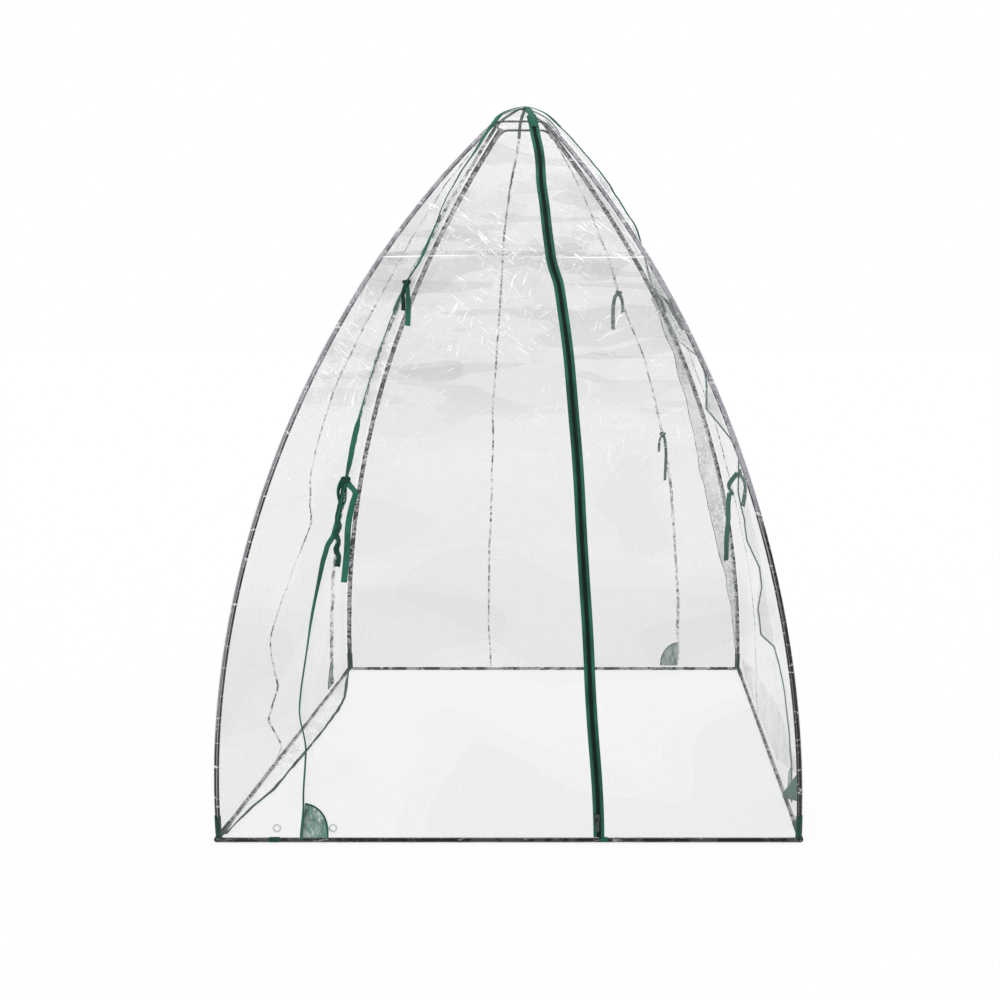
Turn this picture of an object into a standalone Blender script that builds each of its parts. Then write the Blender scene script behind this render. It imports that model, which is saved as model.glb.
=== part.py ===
"""Mini pop-up greenhouse: four spring-rod hoops inside a clear film cover with a zipped front door.

Metres, +Z up, standing on z = 0 with the door facing -Y. Run it in Blender 4.5.
"""

import math

import bmesh
import bpy
from mathutils import Matrix, Vector

# Overall shape. A face is curved only upwards: at one height it is straight from corner to corner.
FACE_REACH = 0.6995  # from the centre line to the film's outer side, at the widest height
BELLY_Z = 0.060  # height at which the faces are widest
TOP_REACH = 0.072
TOP_Z = 1.766  # where the faces end and the crown cap begins
PEAK_Z = 1.801
ZIP_SHIFT = 0.30  # the zip and the plain seams, as a share of the reach, right of a face's middle
TIE_SHIFT = -0.70  # the seams that carry the ties

# Film and clearances
FILM = 0.0006
GAP = 0.0004
FILM_BOTTOM = 0.0142
BEND = 0.006  # how far from a corner the film starts to bend round it

# Frame
ROD_R = 0.0030
ROD_DEPTH = 0.0070  # from the film to the rod of the face's own hoop
SIDE_DEPTH = 0.0130  # from the film of the next face to that rod
HOOP_CORNER_R = 0.014
HOOP_TOP_Z = 1.756
SLEEVE_IN_R = 0.0042
SLEEVE_OUT_R = 0.0047
BASE_R = 0.006  # flat to flat half-size of the twelve-sided base sleeve
BASE_WALL = 0.0010
BASE_REACH = 0.6938
BASE_ROD_INSET = 0.0010
BASE_HALF = 0.668
FERRULE_IN_R = 0.0033
FERRULE_OUT_R = 0.0038
FERRULE_HALF = 0.020

# Seam tapes: half thickness, height outside the film and depth inside it
TIE_FIN = (0.0011, 0.0030, 0.0020)
PLAIN_FIN = (0.0008, 0.0025, 0.0015)

# Zip
ZIP_HALF = 0.0120  # from the zip's middle to the film's edge
COIL_NEAR = 0.0009
COIL_FAR = 0.0044
COIL_OUT = 0.0014
COIL_IN = -0.0018
ZIP_BOTTOM = 0.0190
ZIP_TOP = 1.660
SLIDER_Z = 0.062
SLIDER_HALF_WIDTH = 0.0060
SLIDER_HALF_LENGTH = 0.0110
PLATE_OUT = 0.0014  # from the coil to the far side of each of the slider's plates
EAR_R = 0.0019
PIVOT_OUT = 0.0050  # the pull's pivot, outside the zip line

TIE_HEIGHTS = {"upper": 1.316, "lower": 0.852}
EYELET_Z = 0.038
EYELET_X = {"left": -0.547, "right": -0.4145}
EYELET_OUT_R = 0.0105
EYELET_IN_R = 0.0062

FACES = ("front", "right", "back", "left")
CORNERS = ("front_right", "back_right", "back_left", "front_left")
QUARTER = math.pi / 2
FILM_STEPS = 20
ZIP_STEPS = 40

# The zip's line is a true circular arc in an upright plane through the centre line, because its slider
# turns about that arc's centre. The faces' curve follows from it.
ZIP_STRETCH = math.hypot(1.0, ZIP_SHIFT)
ARC_DROP = (FACE_REACH - TOP_REACH) * ZIP_STRETCH
ARC_RISE = TOP_Z - BELLY_Z
ARC_R = (ARC_RISE**2 + ARC_DROP**2) / (2 * ARC_DROP)
ARC_CENTRE = FACE_REACH * ZIP_STRETCH - ARC_R
ZIP_OUTWARD = Vector((ZIP_SHIFT, -1.0, 0.0)) / ZIP_STRETCH
ZIP_SIDEWAYS = Vector((1.0, ZIP_SHIFT, 0.0)) / ZIP_STRETCH

CLEAR_FILM = ((0.86, 0.90, 0.91), 0.12, 0.0, 0.28)
CLEAR_SLEEVE = ((0.55, 0.58, 0.60), 0.18, 0.0, 0.55)
GREEN_TAPE = ((0.010, 0.105, 0.068), 0.75, 0.0, 1.0)
GREEN_PATCH = ((0.020, 0.150, 0.100), 0.60, 0.0, 0.85)
ROD_FINISH = ((0.060, 0.062, 0.068), 0.30, 0.35, 1.0)
STEEL = ((0.42, 0.43, 0.44), 0.32, 0.9, 1.0)
COIL_BLACK = ((0.018, 0.022, 0.024), 0.45, 0.0, 1.0)
CLEAR_RING = ((0.75, 0.80, 0.80), 0.15, 0.0, 0.6)


def reach(z, depth=0.0):
    """How far a face is from the centre line at height z, for the layer lying depth inside the film."""
    radius = ARC_R - depth * ZIP_STRETCH
    return (ARC_CENTRE + math.sqrt(radius**2 - (z - BELLY_Z) ** 2)) / ZIP_STRETCH


def arc_levels(low, high, steps):
    """Heights evenly spaced along the curve of a face."""
    first = math.asin((low - BELLY_Z) / ARC_R)
    last = math.asin((high - BELLY_Z) / ARC_R)
    return [
        BELLY_Z + ARC_R * math.sin(first + (last - first) * step / steps)
        for step in range(steps + 1)
    ]


def zip_point(angle, sideways, out):
    """A point beside the zip's line: angle up its arc, metres sideways and metres out from it."""
    turned = ZIP_OUTWARD * math.cos(angle) + Vector((0, 0, math.sin(angle)))
    centre = ZIP_OUTWARD * ARC_CENTRE + Vector((0, 0, BELLY_Z))
    return centre + turned * (ARC_R + out) + ZIP_SIDEWAYS * sideways


def zip_angle(z):
    return math.asin((z - BELLY_Z) / ARC_R)


def make_material(name, finish):
    colour, roughness, metallic, alpha = finish
    material = bpy.data.materials.new(name)
    material.use_nodes = True
    shader = material.node_tree.nodes["Principled BSDF"]
    shader.inputs["Base Color"].default_value = (*colour, 1.0)
    shader.inputs["Roughness"].default_value = roughness
    shader.inputs["Metallic"].default_value = metallic
    shader.inputs["Alpha"].default_value = alpha
    return material


def mesh_from(name, points, faces):
    mesh = bpy.data.meshes.new(name)
    shape = bmesh.new()
    corners = [shape.verts.new(point) for point in points]
    for face in faces:
        shape.faces.new([corners[index] for index in face])
    bmesh.ops.recalc_face_normals(shape, faces=shape.faces)
    shape.to_mesh(mesh)
    shape.free()
    return mesh


def place(name, mesh, finish, face=0, smooth=False):
    """One named object with its own material, turned about the centre line to its face."""
    if smooth:
        mesh.shade_smooth()
        mesh.set_sharp_from_angle(angle=math.radians(40))
    part = bpy.data.objects.new(name, mesh)
    bpy.context.scene.collection.objects.link(part)
    part.rotation_euler.z = face * QUARTER
    material = make_material(name + "_finish", finish)
    if not mesh.materials:
        mesh.materials.append(None)
    part.material_slots[0].link = "OBJECT"
    part.material_slots[0].material = material
    return part


def strip_mesh(name, outer, inner):
    """A closed thin sheet between two grids of points, both as rows that run from low to high."""
    rows, columns = len(outer), len(outer[0])
    points = [point for row in outer for point in row]
    points += [point for row in inner for point in row]
    back = rows * columns
    faces = []
    for row in range(rows - 1):
        for column in range(columns - 1):
            a = row * columns + column
            quad = (a, a + 1, a + columns + 1, a + columns)
            faces.append(quad)
            faces.append(tuple(back + index for index in reversed(quad)))
    rim = [column for column in range(columns)]
    rim += [row * columns + columns - 1 for row in range(1, rows)]
    rim += [(rows - 1) * columns + column for column in range(columns - 2, -1, -1)]
    rim += [row * columns for row in range(rows - 2, 0, -1)]
    for a, b in zip(rim, rim[1:] + rim[:1]):
        faces.append((b, a, back + a, back + b))
    return mesh_from(name, points, faces)


def loft_mesh(name, rings):
    """A closed solid through rings of points, with a flat cap on each end."""
    size = len(rings[0])
    points = [point for ring in rings for point in ring]
    faces = [tuple(range(size)), tuple(len(points) - 1 - index for index in range(size))]
    for ring in range(len(rings) - 1):
        for side in range(size):
            a = ring * size + side
            b = ring * size + (side + 1) % size
            faces.append((a, b, b + size, a + size))
    return mesh_from(name, points, faces)


def sleeve_mesh(name, outer, inner):
    """An open-ended tube between matching outer and inner rings."""
    size = len(outer[0])
    points = [point for ring in outer for point in ring]
    points += [point for ring in inner for point in ring]
    back = len(outer) * size
    faces = []
    for side in range(size):
        beside = (side + 1) % size
        for ring in range(len(outer) - 1):
            quad = (
                ring * size + side,
                ring * size + beside,
                (ring + 1) * size + beside,
                (ring + 1) * size + side,
            )
            faces.append(quad)
            faces.append(tuple(back + index for index in reversed(quad)))
        top = (len(outer) - 1) * size
        faces.append((beside, side, back + side, back + beside))
        faces.append((top + side, top + beside, back + top + beside, back + top + side))
    return mesh_from(name, points, faces)


def rod_mesh(name, path, radius, sides):
    """A round rod along a closed path of points."""
    count = len(path)
    points, faces = [], []
    across = Vector((0, 1, 0))
    for index, point in enumerate(path):
        along = (path[(index + 1) % count] - path[index - 1]).normalized()
        across = (across - along * across.dot(along)).normalized()
        other = along.cross(across)
        for side in range(sides):
            angle = 2 * math.pi * (side + 0.5) / sides
            points.append(point + (across * math.cos(angle) + other * math.sin(angle)) * radius)
    for index in range(count):
        ahead = (index + 1) % count
        for side in range(sides):
            beside = (side + 1) % sides
            faces.append(
                (
                    index * sides + side,
                    index * sides + beside,
                    ahead * sides + beside,
                    ahead * sides + side,
                )
            )
    return mesh_from(name, points, faces)


def box_rings(low, high, place_point):
    """Two rings of a box whose corners place_point puts in space; low and high are (side, out, up)."""
    rings = []
    for up in (low[2], high[2]):
        rings.append(
            [
                place_point(low[0], low[1], up),
                place_point(high[0], low[1], up),
                place_point(high[0], high[1], up),
                place_point(low[0], high[1], up),
            ]
        )
    return rings


def join_with(target, cutter, operation):
    """Applies one exact Boolean of target with cutter and removes the cutter."""
    step = target.modifiers.new(operation.lower(), "BOOLEAN")
    step.operation = operation
    step.solver = "EXACT"
    step.object = cutter
    cutter.hide_render = True
    graph = bpy.context.evaluated_depsgraph_get()
    mesh = bpy.data.meshes.new_from_object(target.evaluated_get(graph))
    target.modifiers.clear()
    target.data = mesh
    target.material_slots[0].link = "OBJECT"
    bpy.data.objects.remove(cutter)


# ---------------------------------------------------------------- frame


def rib_point(z):
    """The rod centre of the front hoop's right rib."""
    return Vector((reach(z, SIDE_DEPTH), -reach(z, ROD_DEPTH), z))


def hoop_path():
    """The front hoop's closed centre line: base, right rib, top bar, left rib."""
    foot_z = BASE_R + HOOP_CORNER_R
    rib_foot = rib_point(foot_z)
    base_y = BASE_ROD_INSET - BASE_REACH
    right_side = [Vector((rib_foot.x - HOOP_CORNER_R, base_y, BASE_R))]
    for step, share in ((1, 0.65), (2, 1.0), (3, 1.0)):
        turn = QUARTER * step / 4
        right_side.append(
            Vector(
                (
                    rib_foot.x - HOOP_CORNER_R + HOOP_CORNER_R * math.sin(turn),
                    base_y + (rib_foot.y - base_y) * share,
                    foot_z - HOOP_CORNER_R * math.cos(turn),
                )
            )
        )
    right_side += [rib_point(z) for z in arc_levels(foot_z, HOOP_TOP_Z - 0.020, FILM_STEPS)]
    shoulder = rib_point(HOOP_TOP_Z)
    low_end, bar_end = right_side[-1], shoulder - Vector((0.016, 0, 0))
    for step in range(1, 5):
        share = step / 4
        right_side.append(
            low_end * (1 - share) ** 2 + shoulder * (2 * share * (1 - share)) + bar_end * share**2
        )
    left_side = [Vector((-point.x, point.y, point.z)) for point in reversed(right_side)]
    return right_side + left_side


def stadium(centre, wide, thick, half, radius, steps=6):
    """A long round-ended ring about centre."""
    ring = []
    for end, first in ((1, -QUARTER), (-1, QUARTER)):
        for step in range(steps):
            angle = first + math.pi * step / (steps - 1)
            ring.append(
                centre
                + wide * (end * half + radius * math.cos(angle))
                + thick * radius * math.sin(angle)
            )
    return ring


def corner_rings(low, high, steps, radius):
    """Rings round the pair of ribs at the front right corner, square to them."""
    wide = Vector((1, 1, 0)).normalized()
    rise = 0.001
    rings = []
    for z in arc_levels(low, high, steps):
        here = (reach(z, ROD_DEPTH) + reach(z, SIDE_DEPTH)) / 2
        half = (reach(z, ROD_DEPTH) - reach(z, SIDE_DEPTH)) / math.sqrt(2)
        gained = (reach(z + rise, ROD_DEPTH) + reach(z + rise, SIDE_DEPTH)) / 2 - here
        along = Vector((gained, -gained, rise)).normalized()
        rings.append(
            stadium(Vector((here, -here, z)), wide, along.cross(wide), half, radius)
        )
    return rings


def make_frame():
    hoop = rod_mesh("hoop", hoop_path(), ROD_R, 8)
    low, high = BASE_R + HOOP_CORNER_R + 0.002, HOOP_TOP_Z - 0.030
    corner = sleeve_mesh(
        "corner_sleeve",
        corner_rings(low, high, FILM_STEPS, SLEEVE_OUT_R),
        corner_rings(low, high, FILM_STEPS, SLEEVE_IN_R),
    )
    lashing_in = SLEEVE_OUT_R + 0.0006
    lashing = sleeve_mesh(
        "corner_lashing",
        corner_rings(0.026, 0.060, 1, lashing_in + 0.0006),
        corner_rings(0.026, 0.060, 1, lashing_in),
    )

    def base_rings(apothem):
        radius = apothem / math.cos(math.pi / 12)
        return [
            [
                Vector(
                    (
                        x,
                        -BASE_REACH + radius * math.cos(math.pi * (2 * k + 1) / 12),
                        BASE_R + radius * math.sin(math.pi * (2 * k + 1) / 12),
                    )
                )
                for k in range(12)
            ]
            for x in (-BASE_HALF, BASE_HALF)
        ]

    base = sleeve_mesh("base_sleeve", base_rings(BASE_R), base_rings(BASE_R - BASE_WALL))
    for face, name in enumerate(FACES):
        place("hoop_" + name, hoop, ROD_FINISH, face, smooth=True)
        place("base_sleeve_" + name, base, CLEAR_SLEEVE, face)
    for face, name in enumerate(CORNERS):
        place("corner_sleeve_" + name, corner, CLEAR_SLEEVE, face, smooth=True)
        place("corner_lashing_" + name, lashing, GREEN_TAPE, face)


def make_ferrules():
    """A tube where the two ends of each hoop's rod meet, halfway along a straight step of the rib."""
    levels = arc_levels(BASE_R + HOOP_CORNER_R, HOOP_TOP_Z - 0.020, FILM_STEPS)
    splices = {"front": (1, 0.754), "right": (-1, 0.515), "back": (1, 0.754), "left": (-1, 0.515)}
    for face, name in enumerate(FACES):
        side, height = splices[name]
        step = min(range(FILM_STEPS), key=lambda k: abs((levels[k] + levels[k + 1]) / 2 - height))
        low, high = rib_point(levels[step]), rib_point(levels[step + 1])
        low.x *= side
        high.x *= side
        along = (high - low).normalized()
        across = along.cross(Vector((0, 1, 0))).normalized()
        other = along.cross(across)
        middle = (low + high) / 2

        def rings(radius):
            return [
                [
                    middle
                    + along * end * FERRULE_HALF
                    + across * radius * math.cos(math.pi * k / 6)
                    + other * radius * math.sin(math.pi * k / 6)
                    for k in range(12)
                ]
                for end in (-1, 1)
            ]

        tube = sleeve_mesh("ferrule_" + name, rings(FERRULE_OUT_R), rings(FERRULE_IN_R))
        place("splice_ferrule_" + name, tube, STEEL, face, smooth=True)


# ---------------------------------------------------------------- cover


def face_panel_mesh(name, right_edge):
    """The gore inside a face, from the tie seam to right_edge metres left of the zip or seam line."""
    left_edge = TIE_FIN[0] + GAP
    sides = []
    for depth in (0.0, FILM):
        rows = []
        for z in arc_levels(FILM_BOTTOM, TOP_Z, FILM_STEPS):
            y = -reach(z, depth)
            left = TIE_SHIFT * reach(z) + left_edge
            right = ZIP_SHIFT * reach(z) - right_edge
            rows.append([Vector((left, y, z)), Vector((right, y, z))])
        sides.append(rows)
    return strip_mesh(name, *sides)


def corner_panel_mesh(name, left_edge):
    """The gore that wraps round the corner to the right of the front face."""
    sides = []
    for depth in (0.0, FILM):
        bend = BEND - depth * 0.6
        rows = []
        for z in arc_levels(FILM_BOTTOM, TOP_Z, FILM_STEPS):
            r = reach(z, depth)
            rows.append(
                [
                    Vector((ZIP_SHIFT * reach(z) + left_edge, -r, z)),
                    Vector((r - bend, -r, z)),
                    Vector((r, bend - r, z)),
                    Vector((r, TIE_SHIFT * reach(z) - TIE_FIN[0] - GAP, z)),
                ]
            )
        sides.append(rows)
    return strip_mesh(name, *sides)


def pyramid_mesh(name, half, slope_from, peak_out, peak_in):
    """A thin square pyramid whose upper side falls from peak_out and lower side from peak_in."""
    corners = ((-1, -1), (1, -1), (1, 1), (-1, 1))
    fall = slope_from * half
    points = [Vector((0, 0, peak_out)), Vector((0, 0, peak_in))]
    points += [Vector((x * half, y * half, peak_out - fall)) for x, y in corners]
    points += [Vector((x * half, y * half, peak_in - fall)) for x, y in corners]
    faces = []
    for side in range(4):
        beside = (side + 1) % 4
        faces.append((0, 2 + side, 2 + beside))
        faces.append((1, 6 + beside, 6 + side))
        faces.append((2 + side, 6 + side, 6 + beside, 2 + beside))
    return mesh_from(name, points, faces)


def eyelet_shape(name, x, out_r, in_r, half_length):
    """A ring, or a plain cylinder when in_r is 0, across the front face's film."""
    centre = Vector((x, -reach(EYELET_Z, FILM / 2), EYELET_Z))

    def ring(radius, end):
        return [
            centre
            + Vector(
                (
                    radius * math.cos(math.pi * k / 10),
                    end * half_length,
                    radius * math.sin(math.pi * k / 10),
                )
            )
            for k in range(20)
        ]

    outer = [ring(out_r, end) for end in (-1, 1)]
    if in_r == 0:
        return loft_mesh(name, outer)
    return sleeve_mesh(name, outer, [ring(in_r, end) for end in (-1, 1)])


def cut_eyelet_hole(panel, x):
    hole = eyelet_shape("eyelet_hole", x, EYELET_OUT_R + GAP, 0, 0.010)
    cutter = bpy.data.objects.new("eyelet_hole", hole)
    cutter.display_type = "WIRE"
    bpy.context.scene.collection.objects.link(cutter)
    join_with(panel, cutter, "DIFFERENCE")


def make_cover():
    plain_edge = PLAIN_FIN[0] + GAP
    zip_edge = ZIP_HALF + GAP
    door = place("door_panel", face_panel_mesh("door_panel", zip_edge), CLEAR_FILM)
    cut_eyelet_hole(door, EYELET_X["right"])
    plain = face_panel_mesh("face_panel", plain_edge)
    for face, name in enumerate(FACES[1:], start=1):
        place(name + "_panel", plain, CLEAR_FILM, face)

    beside_zip = corner_panel_mesh("corner_panel_beside_zip", zip_edge)
    place("corner_panel_front_right", beside_zip, CLEAR_FILM)
    corner = corner_panel_mesh("corner_panel", plain_edge)
    for face, name in enumerate(CORNERS[1:3], start=1):
        place("corner_panel_" + name, corner, CLEAR_FILM, face)
    last = corner_panel_mesh("corner_panel_eyelet", plain_edge)
    last.transform(Matrix.Rotation(3 * QUARTER, 4, "Z"))
    front_left = place("corner_panel_front_left", last, CLEAR_FILM)
    cut_eyelet_hole(front_left, EYELET_X["left"])
    for side, x in EYELET_X.items():
        ring = eyelet_shape("eyelet_" + side, x, EYELET_OUT_R, EYELET_IN_R, 0.0012)
        place("eyelet_" + side, ring, CLEAR_RING, smooth=True)

    slope = 0.030 / TOP_REACH
    cap_peak = TOP_Z + 0.0012 + 0.030
    cap = pyramid_mesh("crown_cap", TOP_REACH, slope, cap_peak, cap_peak - 0.0007)
    place("crown_cap", cap, CLEAR_FILM)
    tape = pyramid_mesh("crown_tape", 0.030, slope, PEAK_Z, cap_peak + GAP)
    place("crown_tape", tape, GREEN_TAPE)


def seam_mesh(name, shift, fin):
    half, height, depth = fin
    rings = []
    for z in arc_levels(FILM_BOTTOM, TOP_Z, FILM_STEPS):
        x = shift * reach(z)
        low, high = -reach(z, -height), -reach(z, depth)
        rings.append(
            [
                Vector((x - half, low, z)),
                Vector((x + half, low, z)),
                Vector((x + half, high, z)),
                Vector((x - half, high, z)),
            ]
        )
    return loft_mesh(name, rings)


def make_seams():
    tie_seam = seam_mesh("tie_seam", TIE_SHIFT, TIE_FIN)
    plain_seam = seam_mesh("plain_seam", ZIP_SHIFT, PLAIN_FIN)
    for face, name in enumerate(FACES):
        place("tie_seam_" + name, tie_seam, GREEN_TAPE, face)
        if name != "front":
            place("plain_seam_" + name, plain_seam, GREEN_TAPE, face)


def on_face(x, out, z):
    """A point on the front face: x metres across, out metres off the film, z metres up."""
    return Vector((x, -reach(z, -out), z))


def patch_mesh(name):
    """A quarter-round of woven tape beside the foot of the tie seam."""
    size = 0.086
    foot = FILM_BOTTOM + 0.001
    start = TIE_SHIFT * FACE_REACH + TIE_FIN[0] + 2 * GAP
    sides = []
    for out in (GAP, GAP + 0.0008):
        rows = []
        for step in range(7):
            rise = size * step / 6 * 0.98
            wide = 0.056 * math.sqrt(1 - (rise / size) ** 2)
            rows.append([on_face(start, out, foot + rise), on_face(start + wide, out, foot + rise)])
        sides.append(rows)
    return strip_mesh(name, sides[1], sides[0])


def make_patches():
    patch = patch_mesh("seam_patch")
    for face, name in enumerate(FACES):
        place("seam_patch_" + name, patch, GREEN_PATCH, face)


# ---------------------------------------------------------------- ties


def tie_tail_mesh(name, height, left, width, length):
    """A strap lying down the film from below a knot."""
    x = TIE_SHIFT * reach(height) + left
    sides = []
    for out in (GAP, GAP + 0.0010):
        rows = []
        for step in range(5):
            z = height - 0.022 - length * step / 4
            rows.append([on_face(x, out, z), on_face(x + width, out, z)])
        sides.append(rows)
    return strip_mesh(name, sides[1], sides[0])


def knot_mesh(name, height, side):
    """A flattened knot beside the tie seam's outer edge; side is -1 left of it and 1 right of it."""
    middle = on_face(TIE_SHIFT * reach(height) + side * 0.0085, 0.0080, height)
    shape = bmesh.new()
    bmesh.ops.create_icosphere(shape, subdivisions=2, radius=0.0068)
    bmesh.ops.scale(shape, vec=(0.9, 0.8, 1.35), verts=shape.verts)
    bmesh.ops.translate(shape, vec=middle, verts=shape.verts)
    mesh = bpy.data.meshes.new(name)
    shape.to_mesh(mesh)
    shape.free()
    return mesh


def hanging_tie_mesh(name, height, length):
    """Knot and strap in one solid, for the seams that nothing moves past."""
    knot = bpy.data.objects.new(name + "_knot", knot_mesh(name + "_knot", height, 1))
    bpy.context.scene.collection.objects.link(knot)
    knot.data.materials.append(None)
    x = TIE_SHIFT * reach(height) + 0.0035
    rows = []
    for z, out in ((height, 0.007), (height - 0.03, 0.005), (height - length, 0.0032)):
        rows.append(
            [
                on_face(x, out - 0.0006, z),
                on_face(x + 0.012, out - 0.0006, z),
                on_face(x + 0.012, out + 0.0006, z),
                on_face(x, out + 0.0006, z),
            ]
        )
    strap = bpy.data.objects.new(name + "_strap", loft_mesh(name + "_strap", rows))
    bpy.context.scene.collection.objects.link(strap)
    join_with(knot, strap, "UNION")
    mesh = knot.data
    bpy.data.objects.remove(knot)
    return mesh


def make_ties():
    lengths = {"upper": 0.110, "lower": 0.200}
    for level, height in TIE_HEIGHTS.items():
        length = lengths[level]
        knot = knot_mesh("tie_knot_" + level, height, -1)
        place("tie_knot_front_" + level, knot, GREEN_TAPE, smooth=True)
        width = 0.012 if level == "upper" else 0.019
        tail = tie_tail_mesh("tie_tail_" + level, height, 0.009, width, length)
        place("tie_tail_front_" + level, tail, GREEN_TAPE)
        whole = hanging_tie_mesh("tie_" + level, height, length)
        for face, name in enumerate(FACES[1:], start=1):
            place("tie_" + name + "_" + level, whole, GREEN_TAPE, face)


# ---------------------------------------------------------------- zip


def zip_tape_mesh(name, side):
    """One half of the zip: a thick coil edge and a thin tape out to the film; side is 1 for the fixed half."""
    rings = []
    first, last = zip_angle(ZIP_BOTTOM), zip_angle(ZIP_TOP)
    for step in range(ZIP_STEPS + 1):
        angle = first + (last - first) * step / ZIP_STEPS
        z = zip_point(angle, 0, 0).z
        x = ZIP_SHIFT * reach(z) + side * ZIP_HALF
        ring = [
            zip_point(angle, side * COIL_NEAR, COIL_IN),
            zip_point(angle, side * COIL_FAR, COIL_IN),
            zip_point(angle, side * (COIL_FAR + 0.0006), -0.0007),
            Vector((x, -reach(z, 0.0009), z)),
            Vector((x, -reach(z, -0.0003), z)),
            zip_point(angle, side * (COIL_FAR + 0.0006), 0.0005),
            zip_point(angle, side * COIL_FAR, COIL_OUT),
            zip_point(angle, side * COIL_NEAR, COIL_OUT),
        ]
        rings.append(ring)
    return loft_mesh(name, rings)


def at_slider(side, out, up):
    """A point near the closed slider: side and out as in zip_point, up metres along the arc from it."""
    return zip_point(zip_angle(SLIDER_Z) + up / ARC_R, side, out)


def hinged(name, mesh, finish, origin):
    """An object whose origin is on its joint's axis."""
    mesh.transform(Matrix.Translation(-origin))
    part = place(name, mesh, finish)
    part.location = origin
    return part


def slider_mesh():
    """An I-section slider: two plates joined by a web that runs between the coils."""
    wide, web = SLIDER_HALF_WIDTH, 0.0005
    plate_out = (COIL_OUT + 0.0004, COIL_OUT + PLATE_OUT)
    plate_in = (COIL_IN - 0.0005, COIL_IN - PLATE_OUT)
    outline = [
        (-wide, plate_in[1]),
        (wide, plate_in[1]),
        (wide, plate_in[0]),
        (web, plate_in[0]),
        (web, plate_out[0]),
        (wide, plate_out[0]),
        (wide, plate_out[1]),
        (-wide, plate_out[1]),
        (-wide, plate_out[0]),
        (-web, plate_out[0]),
        (-web, plate_in[0]),
        (-wide, plate_in[0]),
    ]
    rings = [
        [at_slider(side, out, up) for side, out in outline]
        for up in (-SLIDER_HALF_LENGTH, SLIDER_HALF_LENGTH)
    ]
    return loft_mesh("zip_slider", rings)


def pin_mesh(name, radius, half):
    """A round bar along the pull's pivot."""
    rings = []
    for end in (-1, 1):
        rings.append(
            [
                at_slider(
                    end * half,
                    PIVOT_OUT + radius * math.cos(math.pi * k / 6),
                    radius * math.sin(math.pi * k / 6),
                )
                for k in range(12)
            ]
        )
    return loft_mesh(name, rings)


def loose(mesh):
    """An object that is only an operand of a Boolean."""
    operand = bpy.data.objects.new(mesh.name, mesh)
    operand.display_type = "WIRE"
    bpy.context.scene.collection.objects.link(operand)
    return operand


def make_slider_and_pull():
    arc_centre = ZIP_OUTWARD * ARC_CENTRE + Vector((0, 0, BELLY_Z))
    pivot = at_slider(0, PIVOT_OUT, 0)
    slider = hinged("zip_slider", slider_mesh(), STEEL, arc_centre)
    plate = COIL_OUT + PLATE_OUT
    post = box_rings((-0.0009, plate - 0.0005, -0.0012), (0.0009, PIVOT_OUT, 0.0012), at_slider)
    for name, mesh in (
        ("post", loft_mesh("post", post)),
        ("pin", pin_mesh("pin", 0.0010, 0.0026)),
    ):
        mesh.transform(Matrix.Translation(-arc_centre))
        operand = loose(mesh)
        operand.location = arc_centre
        bpy.context.view_layer.update()
        join_with(slider, operand, "UNION")

    # The pull: two ears with holes for the pin, and a grip that hangs below them.
    ears = []
    for side in (-1, 1):
        outline = [(PIVOT_OUT - EAR_R, -0.0080), (PIVOT_OUT + EAR_R, -0.0080)]
        outline += [
            (
                PIVOT_OUT + EAR_R * math.cos(math.pi * k / 6),
                EAR_R * math.sin(math.pi * k / 6),
            )
            for k in range(7)
        ]
        ears.append(
            [[at_slider(side * off, out, up) for out, up in outline] for off in (0.0013, 0.0022)]
        )
    grip = box_rings(
        (-0.0040, PIVOT_OUT - 0.0007, -0.0300), (0.0040, PIVOT_OUT + 0.0007, -0.0040), at_slider
    )
    grip_mesh = loft_mesh("zip_pull", grip)
    pull = hinged("zip_pull", grip_mesh, STEEL, pivot)
    bpy.context.view_layer.update()
    for index, ear in enumerate(ears):
        mesh = loft_mesh("ear_" + str(index), ear)
        join_with(pull, loose(mesh), "UNION")
    join_with(pull, loose(pin_mesh("pin_hole", 0.0013, 0.0060)), "DIFFERENCE")


def band_mesh(name, x, width):
    """A strap end folded over the front base sleeve, open underneath."""
    sides = []
    for radius in (BASE_R + GAP + 0.0007, BASE_R + GAP):
        corner = radius / math.cos(math.pi / 12)
        rows = []
        for end in (x, x + width):
            turns = [math.pi * (2 * k - 1) / 12 for k in range(8)]
            rows.append(
                [
                    Vector(
                        (
                            end,
                            -BASE_REACH - corner * math.cos(turn),
                            BASE_R + corner * math.sin(turn),
                        )
                    )
                    for turn in turns
                ]
            )
        sides.append(rows)
    return strip_mesh(name, *sides)


def make_zip():
    place("zip_tape_fixed", zip_tape_mesh("zip_tape_fixed", 1), GREEN_TAPE)
    place("zip_tape_door", zip_tape_mesh("zip_tape_door", -1), GREEN_TAPE)
    make_slider_and_pull()
    place("zip_anchor_loop", band_mesh("zip_anchor_loop", 0.2150, 0.0200), GREEN_TAPE)
    place("peg_loop", band_mesh("peg_loop", -0.5680, 0.0240), GREEN_TAPE)


def main():
    for old in list(bpy.data.objects):
        bpy.data.objects.remove(old)
    make_frame()
    make_ferrules()
    make_cover()
    make_seams()
    make_patches()
    make_ties()
    make_zip()


main()
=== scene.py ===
import math

import bpy
from mathutils import Matrix, Vector, noise


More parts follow.
